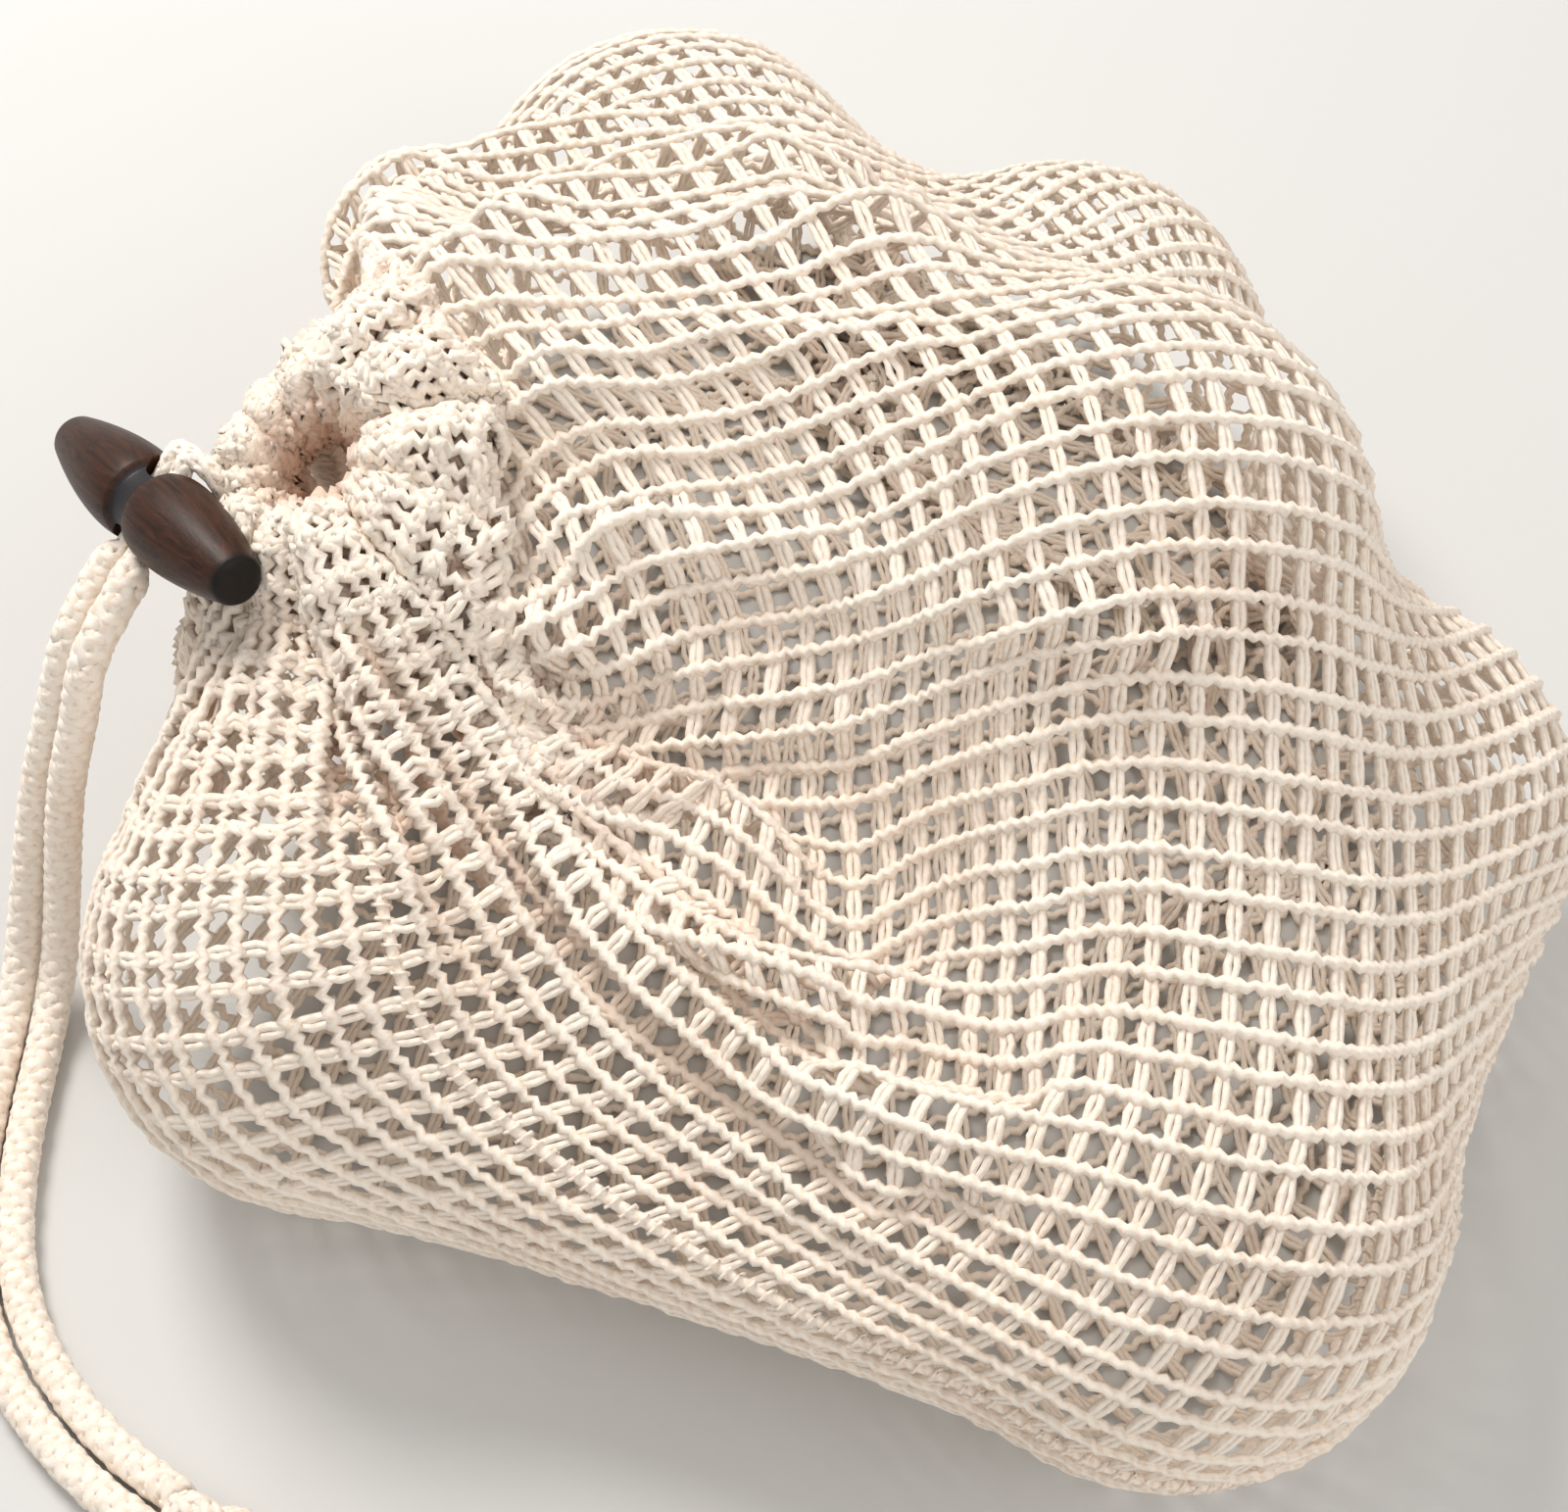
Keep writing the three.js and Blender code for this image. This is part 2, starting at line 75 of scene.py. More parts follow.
# The line between the two tails: it hangs from the toggle, then lies on the surface.
TAIL_ROUTE = [
    (-122.2, -19.8, 61), (-125.5, -22.3, 52), (-128.2, -24.6, 43), (-130.4, -27, 34),
    (-132.3, -30, 25), (-134, -33.6, 16.5), (-135.5, -38.4, 9.2), (-136.8, -45, 4.8),
    (-137.6, -53, 3.4), (-138.2, -64, 3.3), (-138.2, -76, 3.3), (-137, -88, 3.3),
    (-133.8, -99.5, 3.3), (-128.6, -109.5, 3.3), (-121.6, -118.5, 3.3),
    (-113.2, -126.5, 3.3), (-103.5, -133.5, 3.3),
]
KNOT_CENTRE = np.array([-95.6, -138.6, 7.4])
KNOT_HALF_LENGTH = 9.0
KNOT_END_LENGTH = 12.0  # of the cut ends that stand out of the knot


def unit(v):
    return v / norm(v, axis=-1, keepdims=True)


MOUTH_AXIS = unit(MOUTH_AXIS)
TOGGLE_AXIS = unit(TOGGLE_AXIS)
SLIDE = unit(SLIDE - TOGGLE_AXIS * (SLIDE @ TOGGLE_AXIS))
TO_TOGGLE = TOGGLE_CENTRE - MOUTH
TO_TOGGLE = unit(TO_TOGGLE - MOUTH_AXIS * (TO_TOGGLE @ MOUTH_AXIS))
ACROSS = np.cross(MOUTH_AXIS, TO_TOGGLE)


def smoothstep(x, low, high):
    """From 0 at low to 1 at high, without a corner."""
    t = np.clip((x - low) / (high - low), 0, 1)
    return t * t * (3 - 2 * t)


def at_mouth(radius, turn, height):
    """Points round the mouth: turn 0 is towards the toggle."""
    radius, turn, height = (np.asarray(v, float)[..., None] for v in (radius, turn, height))
    return MOUTH + radius * (np.cos(turn) * TO_TOGGLE + np.sin(turn) * ACROSS) + height * MOUTH_AXIS


# ---- Camera, floor and light --------------------------------------------------------------

def new_object(name, data):
    obj = bpy.data.objects.new(name, data)
    bpy.context.collection.objects.link(obj)
    return obj


def look_at(obj, target):
    obj.rotation_mode = "QUATERNION"
    obj.rotation_quaternion = (Vector(target) - obj.location).to_track_quat("-Z", "Y")


def add_camera():
    """The photo's view of the bag."""
    camera = new_object("camera", bpy.data.cameras.new("camera"))
    elevation, distance = math.radians(56), 0.468
    target = Vector((-0.008, -0.020, 0.045))
    camera.location = target + distance * Vector((0, -math.cos(elevation), math.sin(elevation)))
    camera.data.sensor_width = 36
    camera.data.lens = 65.25
    camera.data.clip_start = 0.01
    look_at(camera, target)
    bpy.context.scene.camera = camera


def area_light(name, place, size, power, colour):
    light = bpy.data.lights.new(name, "AREA")
    light.shape = "DISK"
    light.size = size
    light.energy = power
    light.color = colour
    obj = new_object(name, light)
    obj.location = place
    look_at(obj, (0, 0, 0.05))


def add_studio():
    """A plain pale floor, soft light all round, a key from behind and a fill from the front."""
    mesh = bpy.data.meshes.new("floor")
    reach = 3
    corners = [(-reach, -reach, 0), (reach, -reach, 0), (reach, reach, 0), (-reach, reach, 0)]
    mesh.from_pydata(corners, [], [(0, 1, 2, 3)])
    floor = new_object("floor", mesh)
    material = bpy.data.materials.new("floor")
    material.use_nodes = True
    shader = material.node_tree.nodes["Principled BSDF"]
    shader.inputs["Base Color"].default_value = (0.64, 0.64, 0.63, 1)
    shader.inputs["Roughness"].default_value = 0.85
    mesh.materials.append(material)

    world = bpy.data.worlds.new("studio")
    world.use_nodes = True
    world.node_tree.nodes["Background"].inputs["Color"].default_value = (1.0, 0.98, 0.95, 1)
    world.node_tree.nodes["Background"].inputs["Strength"].default_value = 0.60
    bpy.context.scene.world = world
    area_light("key", (-0.45, 0.55, 0.95), 0.45, 11.0, (1.0, 0.97, 0.93))
    area_light("fill", (0.8, -0.7, 0.9), 0.9, 4.5, (1.0, 0.98, 0.95))
    bpy.context.scene.view_settings.view_transform = "Standard"
    bpy.context.scene.view_settings.look = "None"


# ---- The net settles over its contents ----------------------------------------------------

MOUTH_AZIMUTH, BOTTOM_AZIMUTH = 173.4, 29


def seam_elevation(azimuth):
    """Of the bag's side seams and bottom edge seen from the core, in degrees."""
    from_mouth = np.abs((azimuth - MOUTH_AZIMUTH + 180) % 360 - 180)
    from_bottom = np.abs((azimuth - BOTTOM_AZIMUTH + 180) % 360 - 180)
    up_to_mouth = 39 * (1 - smoothstep(from_mouth, 16, 64))
    down_to_bottom = 19 * (1 - smoothstep(from_bottom, 30, 62))
    return up_to_mouth - down_to_bottom - 3


START_GAP = 3           # between the net and the lumps before it settles
NET_FLOOR = 1           # how low the yarn's middle can come on the surface
FRONT_FLOOR = 4         # the same for the front panel, which lies on the back panel


def wrapped_start(across, side):
    """The two panels laid round the lumps like the halves of a pillowcase."""
    along = 1 - 2 * np.arange(ROWS + 1) / ROWS
    a = along[None, :] * np.ones((COLUMNS, 1))
    b = (across / across.max())[:, None] * np.ones((1, ROWS + 1))
    out = np.maximum(np.abs(a), np.abs(b))
    corner_angles = [-180, -135, -45, 45, 135, 180]
    corner_azimuths = [-186.6, -172, -16, 74, 160, 173.4]
    azimuth = np.interp(np.degrees(np.arctan2(b, a)), corner_angles, corner_azimuths)
    seam = seam_elevation(azimuth)
    side = side[:, None] * np.ones((1, ROWS + 1))
    top, under = 90 - (90 - seam) * out, -90 + (90 + seam) * out
    elevation = np.radians(np.where(side > 0, top, np.where(side < 0, under, seam)))
    azimuth = np.radians(azimuth)
    ray = np.stack([
        np.cos(elevation) * np.cos(azimuth),
        np.cos(elevation) * np.sin(azimuth),
        np.sin(elevation),
    ], -1)
    reach = np.zeros(ray.shape[:-1])
    for x, y, z, radius in LUMPS:
        reach = np.maximum(reach, ray @ (np.array([x, y, z]) - CORE) + radius)
    place = CORE + ray * (reach[..., None] + START_GAP)
    place[..., 2] = np.maximum(place[..., 2], np.where(side > 0, FRONT_FLOOR, NET_FLOOR))
    return place


def smooth_path(spots, parts):
    """Catmull-Rom through (yarns, points, ...) with parts steps from point to point."""
    before = np.concatenate([2 * spots[:, :1] - spots[:, 1:2], spots[:, :-1]], 1)
    after = np.concatenate([spots[:, 1:], 2 * spots[:, -1:] - spots[:, -2:-1]], 1)
    later = np.concatenate([after[:, 1:], 2 * after[:, -1:] - after[:, -2:-1]], 1)
    pieces = []
    for k in range(parts):
        t = k / parts
        pieces.append(0.5 * (
            2 * spots + (after - before) * t
            + (2 * before - 5 * spots + 4 * after - later) * t ** 2
            + (3 * spots - before - 3 * after + later) * t ** 3
        )[:, :-1])
    out = np.stack(pieces, 2).reshape(spots.shape[0], -1, spots.shape[2])
    return np.concatenate([out, spots[:, -1:]], 1)


def headings(paths):
    """From the point before to the point after, along each row of (rows, points, 3)."""
    ahead = np.empty_like(paths)
    ahead[:, 1:-1] = paths[:, 2:] - paths[:, :-2]
    ahead[:, 0] = paths[:, 1] - paths[:, 0]
    ahead[:, -1] = paths[:, -1] - paths[:, -2]
    return ahead


def net_normals(net):
    """The way out of the bag at each crossing, evened out over its neighbours."""
    round_bag = np.roll(net, -1, 0) - np.roll(net, 1, 0)
    normal = np.cross(round_bag, headings(net))
    outside = np.sum(normal * (net - CORE), -1)
    normal *= np.sign(np.median(outside))
    normal = unit(normal + 1e-9)
    for _ in range(2):
        spread = normal + 0.5 * (np.roll(normal, 1, 0) + np.roll(normal, -1, 0))
        spread[:, 1:-1] += 0.5 * (normal[:, 2:] + normal[:, :-2])
        normal = unit(spread + 1e-9)
    return normal


# Where the sewn bottom edge comes to lie: its two corners and what bends it between them.
TUCKED_NEAR = np.array([100.0, -60.0, 9.0])
TUCKED_FAR = np.array([8.0, 112.0, 9.0])
TUCKED_MIDDLE = np.array([128.0, 62.0, -2.0])

# The casing's rows, mouth edge first: how far out, how high, how deeply pleated, how firmly held.
PLEATS = 11
CASING_RADII = [7.6, 9.6, 14.2, 19.6, 25.2, 30.8]
CASING_HEIGHTS = [-5.5, 0.6, 4.6, 5.4, 4.0, 1.4]
CASING_DEPTHS = [1.8, 3.2, 5.0, 6.0, 6.2, 5.6]
CASING_HOLDS = [1.0, 1.0, 1.0, 0.9, 0.6, 0.3]
OPENING = 8             # the radius inside which the casing neither falls nor leans
CASING_FALL = 0.12      # how steeply the casing falls beyond that
TOGGLE_FALL, SIDE_FALL = 0.30, 0.55     # and how much more by the toggle and on the outer side
TOGGLE_DENT = 0.36      # how far the casing is pressed in by the toggle
PLEAT_LEAN = 0.34       # how far a pleat bulges over its neighbours

# Folds that the gathers send out over the front: points under the ridge, and how far above
# them it stands.
FOLDS = [
    ([(-73, 30, 105), (-74, 48, 98), (-71, 66, 84), (-58, 84, 76), (-36, 93, 77), (-18, 97, 78)], 6),
    ([(-69, 20, 105), (-57, 29, 106), (-42, 44, 101), (-24, 52, 100), (-3, 54, 103), (22, 76, 82)], 11),
    ([(-62, 14, 101), (-44, 25, 102), (-30, 32, 103), (-10, 34, 108), (13, 30, 112), (40, 34, 108)], 10),
    ([(-56, 8, 99), (-44, 11, 100), (-32, 14, 100), (-14, 12, 104), (13, 6, 112), (34, 4, 122)], 10),
    ([(-56, -6, 92), (-38, -11, 91), (-14, -13, 90), (7, -23, 95), (27, -36, 105), (48, -40, 108),
      (67, -33, 105)], 9),
    ([(-60, -18, 89), (-44, -24, 85), (-23, -24, 78), (-1, -36, 78), (21, -46, 88)], 7),
    ([(-68, -27, 79), (-50, -38, 74), (-32, -46, 68), (-14, -60, 66), (-1, -72, 64), (3, -88, 62),
      (6, -105, 60), (8, -116, 50)], 8),
    ([(78, 12, 98), (80, -9, 98), (80, -28, 89), (79, -49, 80), (76, -78, 74), (84, -86, 64)], 2),
]
FOLD_WIDTH = 5.5        # on each side of a ridge
FOLD_FALL = 8.0         # from the ridge to that width
FOLD_PULLED_UP = 8.5    # how much of its height a fold gets after the net has come to rest
FOLD_REACH = 24.0       # a fold lifts only the net that lies less than this below it


def fold_ridges():
    """Points along all the ridges, as high as the net stands there, and which way is up."""
    ridges, heights = [], []
    for points, height in FOLDS:
        line = smooth_path(np.array(points, float)[None], 4)[0]
        share = np.arange(len(line)) / (len(line) - 1)
        ridges.append(line)
        gone = smoothstep(share, 0.72, 1.0) + 1 - smoothstep(share, -0.1, 0.3)
        heights.append(height - (height + 4) * gone)
    ridges = np.concatenate(ridges)
    up = unit(ridges - CORE)
    return ridges + np.concatenate(heights)[:, None] * up, up


def lift_over_folds(front, ridges, up, sunk):
    """Keeps the net above the ridges, which still lie some way below their full height."""
    away = front[:, :, None] - ridges
    rise = np.einsum("ijkc,kc->ijk", away, up)
    aside = np.sqrt(np.maximum(np.einsum("ijkc,ijkc->ijk", away, away) - rise ** 2, 0))
    wanted = -sunk - FOLD_FALL * (aside / FOLD_WIDTH) ** 2
    lift = np.where((aside < FOLD_WIDTH) & (rise > -FOLD_REACH), wanted - rise, 0)
    nearest = lift.argmax(2)
    lift = np.maximum(np.take_along_axis(lift, nearest[..., None], 2), 0)
    front += 0.6 * lift * up[nearest]


def gathered_rows(rng):
    """Where the drawcord gathers the casing's rows: deep pleats round the mouth, mouth edge first."""
    i = np.arange(COLUMNS)
    full = 2 * np.pi

    def turn_of(way):
        way = way - MOUTH_AXIS * (way @ MOUTH_AXIS)
        return np.arctan2(way @ ACROSS, way @ TO_TOGGLE)

    near, right = turn_of(np.array([0.0, -1, 0])), turn_of(np.array([1.0, 0, 0]))
    way_round = np.sign((right - near + np.pi) % full - np.pi)
    turn = near + way_round * full * i / COLUMNS
    wander = sum(
        rng.normal(0, 0.55) * np.sin(full * k * i / COLUMNS + rng.uniform(0, 6.3))
        for k in range(1, 6)
    )
    phase = full * PLEATS * i / COLUMNS + wander
    from_toggle = np.abs((turn + np.pi) % full - np.pi)
    by_toggle = 1 - smoothstep(from_toggle, 0.785, 1.745)
    bag_side = turn_of(np.array([-0.8, 0.6, 0.0]))
    outer = smoothstep(np.cos(turn - bag_side), 0.1, 0.9)
    swell = np.abs(np.sin(phase / 2))
    wave = 2 * swell ** 0.9 - 1.1
    size = 1 + 0.22 * np.sin(6 * np.pi * i / COLUMNS + 1.0) + 0.12 * np.sin(10 * np.pi * i / COLUMNS)
    rows = []
    crumple = np.zeros((COLUMNS, 3))
    for radius, rise, depth in zip(CASING_RADII, CASING_HEIGHTS, CASING_DEPTHS):
        radius = radius - by_toggle * TOGGLE_DENT * (radius - OPENING)
        width = np.pi * radius / PLEATS
        slope = CASING_FALL + TOGGLE_FALL * by_toggle + SIDE_FALL * outer
        fall = -slope * (radius - OPENING)
        lean = -np.sin(phase) * PLEAT_LEAN * width / radius * smoothstep(radius, OPENING, 15)
        height = rise + fall + depth * size * wave * (1 - 0.3 * by_toggle)
        spread = radius * (1 - 0.10 * outer + 0.04 * np.sin(phase + 0.8))
        fresh = rng.normal(0, 1, (COLUMNS, 3))
        fresh = (np.roll(fresh, 1, 0) + 2 * fresh + np.roll(fresh, -1, 0)) / 4
        crumple = 0.6 * crumple + fresh * (0.3 + 0.015 * radius)[:, None]
        rows.append(at_mouth(spread, turn + lean, height) + crumple)
    return rows


def push_apart(net, distance):
    """Moves yarns halfway apart where two folds of the net come closer than distance."""
    spots = net.reshape(-1, 3)
    i, j = np.meshgrid(np.arange(COLUMNS), np.arange(ROWS + 1), indexing="ij")
    i, j = i.ravel(), j.ravel()
    span = 4096             # cells of that size along each axis, which no bag fills
    cell = np.floor(spots / distance).astype(np.int64) + 1000
    key = (cell[:, 0] * span + cell[:, 1]) * span + cell[:, 2]
    order = np.argsort(key, kind="stable")
    keys, start, count = np.unique(key[order], return_index=True, return_counts=True)
    pairs = []

    def pair_up(first, second, same):
        """Every spot in the first cells with every one in the second."""
        for x in range(int(count[first].max()) if len(first) else 0):
            for y in range(x + 1 if same else 0, int(count[second].max())):
                ok = (x < count[first]) & (y < count[second])
                one, two = start[first[ok]] + x, start[second[ok]] + y
                pairs.append(np.stack([order[one], order[two]], 1))

    every = np.arange(len(keys))
    pair_up(every, every, True)
    steps = [(x, y, z) for x in (-1, 0, 1) for y in (-1, 0, 1) for z in (-1, 0, 1)]
    for x, y, z in [step for step in steps if step > (0, 0, 0)]:
        wanted = keys + (x * span + y) * span + z
        found = np.clip(np.searchsorted(keys, wanted), 0, len(keys) - 1)
        ok = keys[found] == wanted
        if ok.any():
            pair_up(every[ok], found[ok], False)
    a, b = np.concatenate(pairs).T
    apart_i = np.abs(i[a] - i[b])
    apart = np.minimum(apart_i, COLUMNS - apart_i) + np.abs(j[a] - j[b])
    a, b = a[apart > 2], b[apart > 2]       # next neighbours may lie closer
    way = spots[b] - spots[a]
    length = norm(way, axis=1)
    close = length < distance
    a, b, way, length = a[close], b[close], way[close], length[close]
    move = (0.25 * (length - distance) / (length + 1e-9))[:, None] * way
    np.add.at(spots, a, move)
    np.add.at(spots, b, -move)


def pull(net, first, second, rest, strong, weak=None):
    """Half a step of each link between two slices of the net towards its rest length."""
    way = net[second] - net[first]
    length = norm(way, axis=-1, keepdims=True) + 1e-9
    if weak is None:
        stiff = np.where(length < rest, strong, 0.0)
    else:
        stiff = np.where(length > rest, strong, weak)
    move = 0.5 * stiff * (length - rest) / length * way
    net[first] += move
    net[second] -= move


# The warp's rest length, shorter towards the casing, where the knit has drawn together.
DRAWN = smoothstep(np.arange(ROWS), TOP - 18, TOP - 2)
SNUG = (PITCH * (1 - 0.16 * DRAWN))[None, :, None]
# How much of the weft's slack buckles, and how far apart it keeps every second column: less
# towards the casing, where the cells are squeezed narrow instead.
CROWDED = smoothstep(np.arange(ROWS + 1), TOP - 20, TOP - 2)[:, None]
WEFT_PUSH = 0.5 - 0.42 * CROWDED
WEFT_BEND = PITCH * (1.70 - 0.75 * CROWDED)


FLOOR_GRIP, LUMP_GRIP = 0.3, 0.35      # how much of a slip along them is taken back
KEPT_SPEED = 0.90
LIGHT, HEAVY = 0.05, 0.10       # how far a step lets the net sink, while gathering and later
FOLD_GAP = 3.2          # that two folds of the net keep between them
GATHER_LIFT = 5         # that the mouth is raised by on the way to its place
RISING = 8              # that the folds' ridges rise by while the net comes to rest


def ease(net, last, turn, held):
    """One pass over the cloth's links, its edges and everything that it rests on."""
    for k in (0, 1):
        a = np.arange(k, COLUMNS, 2)
        pull(net, (a,), ((a + 1) % COLUMNS,), PITCH, 1.0, WEFT_PUSH)
        b = np.arange(k, ROWS, 2)
        pull(net, (slice(None), b), (slice(None), b + 1), SNUG[:, b], 1.0, 0.25)
    if turn % 2 == 0:
        shear_and_bend(net, math.sqrt(2) * PITCH)
    tuck_bottom_edge(net)
    a = np.arange(1, HALF)
    net[a, 0] = net[COLUMNS - a, 0] = 0.5 * (net[a, 0] + net[COLUMNS - a, 0])
    for k, place in enumerate(held):
        net[:, ROWS - k] += CASING_HOLDS[k] * (place - net[:, ROWS - k])
    rest_on_lumps(net, last)
    keep_off_toggle(net[:, :TOP])
    low = net[..., 2] < NET_FLOOR
    net[..., 2] = np.where(low, NET_FLOOR, net[..., 2])
    net[low, :2] -= FLOOR_GRIP * (net[low, :2] - last[low, :2])
    net[1:HALF, :, 2] = np.maximum(net[1:HALF, :, 2], FRONT_FLOOR)


def settle_net(seed=3, gather_steps=100, rest_steps=300, passes=6):
    """Draws the mouth in, lets the net come to rest on the lumps and pulls up its folds."""
    rng = np.random.default_rng(seed)
    column = np.arange(COLUMNS)
    across = np.where(column <= HALF, column - HALF / 2, HALF / 2 - (column - HALF)) * PITCH
    side = np.where((column > 0) & (column < HALF), 1.0, -1.0)
    side[[0, HALF]] = 0
    net = wrapped_start(across, side) + rng.normal(0, 0.15, (COLUMNS, ROWS + 1, 3))
    gathered = gathered_rows(rng)
    ridges, ridge_up = fold_ridges()
    loose = [net[:, ROWS - k].copy() for k in range(CASING_ROWS + 1)]
    outward = unit(MOUTH - CORE)
    last = net.copy()
    for step in range(gather_steps + rest_steps):
        gathering = min(1.0, (step + 1) / gather_steps)
        speed = (net - last) * KEPT_SPEED
        last = net.copy()
        net = net + speed
        front = net[:HALF + 1, :TOP + 1]
        net[..., 2] -= LIGHT if gathering < 1 else HEAVY
        done = smoothstep(gathering, 0.0, 1.0)
        lift = outward * GATHER_LIFT * np.sin(np.pi * done)
        held = [a * (1 - done) + b * done + lift for a, b in zip(loose, gathered)]
        for turn in range(passes):
            ease(net, last, turn, held)
        if step > gather_steps:
            sunk = RISING * (1 - smoothstep(step, gather_steps, gather_steps + rest_steps / 2))
            lift_over_folds(front, ridges, ridge_up, sunk + FOLD_PULLED_UP)
        if gathering > 0.5 and step % 2 == 0:
            push_apart(net, FOLD_GAP)
    for turn in range(3):
        soften(net)
        ease(net, net.copy(), turn, held)
    for turn in range(10):
        lift_over_folds(front, ridges, ridge_up, FOLD_PULLED_UP * (1 - min(1, (turn + 1) / 6)))
        ease(net, net.copy(), turn, held)
    lift_over_folds(front, ridges, ridge_up, 0)
    return net


def soften(net):
    """Rounds off kinks sharper than such yarn makes."""
    loose = net[:, 1:TOP]
    middle = (np.roll(net, 1, 0) + np.roll(net, -1, 0))[:, 1:TOP]
    middle = middle + net[:, :TOP - 1] + net[:, 2:TOP + 1]
    loose += 0.35 * (middle / 4 - loose)


def shear_and_bend(net, corner):
    """Keeps cells from closing to a line, and yarns from folding back on themselves."""
    rows = np.arange(ROWS)
    for lean in (1, -1):
        for k in (0, 1):
            a = np.arange(k, COLUMNS, 2)
            b = (a + lean) % COLUMNS
            pull(net, np.ix_(a, rows), np.ix_(b, rows + 1), 0.66 * corner, 0.5)
            pull(net, np.ix_(a, rows), np.ix_(b, rows + 1), corner, 0.02, 0.02)
    for k in range(4):
        a = np.arange(k, COLUMNS, 4)
        pull(net, (a,), ((a + 2) % COLUMNS,), WEFT_BEND, 0.15)
        b = np.arange(k, ROWS - 1, 4)
        pull(net, (slice(None), b), (slice(None), b + 2), 1.88 * SNUG[:, b], 0.30)


def tuck_bottom_edge(net):
    """The sewn bottom edge lies under the bag's right end, its corners folded in."""
    share = np.arange(HALF + 1)[:, None] / HALF
    line = ((1 - share) ** 2 * TUCKED_NEAR + 2 * share * (1 - share) * TUCKED_MIDDLE
            + share ** 2 * TUCKED_FAR)
    net[:HALF + 1, 0] += 0.05 * (line - net[:HALF + 1, 0])
    cells = 7               # from the corner to where the pull ends
    reach = np.arange(1 - cells, cells)
    for column, place in ((0, TUCKED_NEAR), (HALF, TUCKED_FAR)):
        for j in range(cells):
            share = 0.06 * (1 - j / cells) * (1 - np.abs(reach) / cells)
            nodes = (column + reach) % COLUMNS
            net[nodes, j] += share[:, None] * (place - net[nodes, j])


def rest_on_lumps(net, last):
    """Keeps the net outside the lumps, with some grip, and out of the gaps that face inwards."""
    for x, y, z, radius in LUMPS:
        centre, radius = np.array([x, y, z]), radius + CONTACT
        way = net - centre
        distance = norm(way, axis=2)
        hit = distance < radius
        if not hit.any():
            continue
        normal = way[hit] / (distance[hit][:, None] + 1e-9)
        ray = unit(net[hit] - CORE)
        facing = np.sum(normal * ray, 1)
        normal = unit(normal + ray * np.clip(0.15 - facing, 0, 1.2)[:, None])
        place = centre + normal * radius
        slip = place - last[hit]
        slip -= normal * np.sum(slip * normal, 1, keepdims=True)
        net[hit] = place - LUMP_GRIP * slip


def keep_off_toggle(net):
    clear = TOGGLE_RADIUS + 1.6
    way = net - TOGGLE_CENTRE
    along = np.clip(way @ TOGGLE_AXIS, -TOGGLE_LENGTH / 2, TOGGLE_LENGTH / 2)
    near = TOGGLE_CENTRE + along[..., None] * TOGGLE_AXIS
    distance = norm(net - near, axis=-1)
    hit = distance < clear
    net[hit] = near[hit] + unit(net[hit] - near[hit]) * clear


# ---- Yarns --------------------------------------------------------------------------------

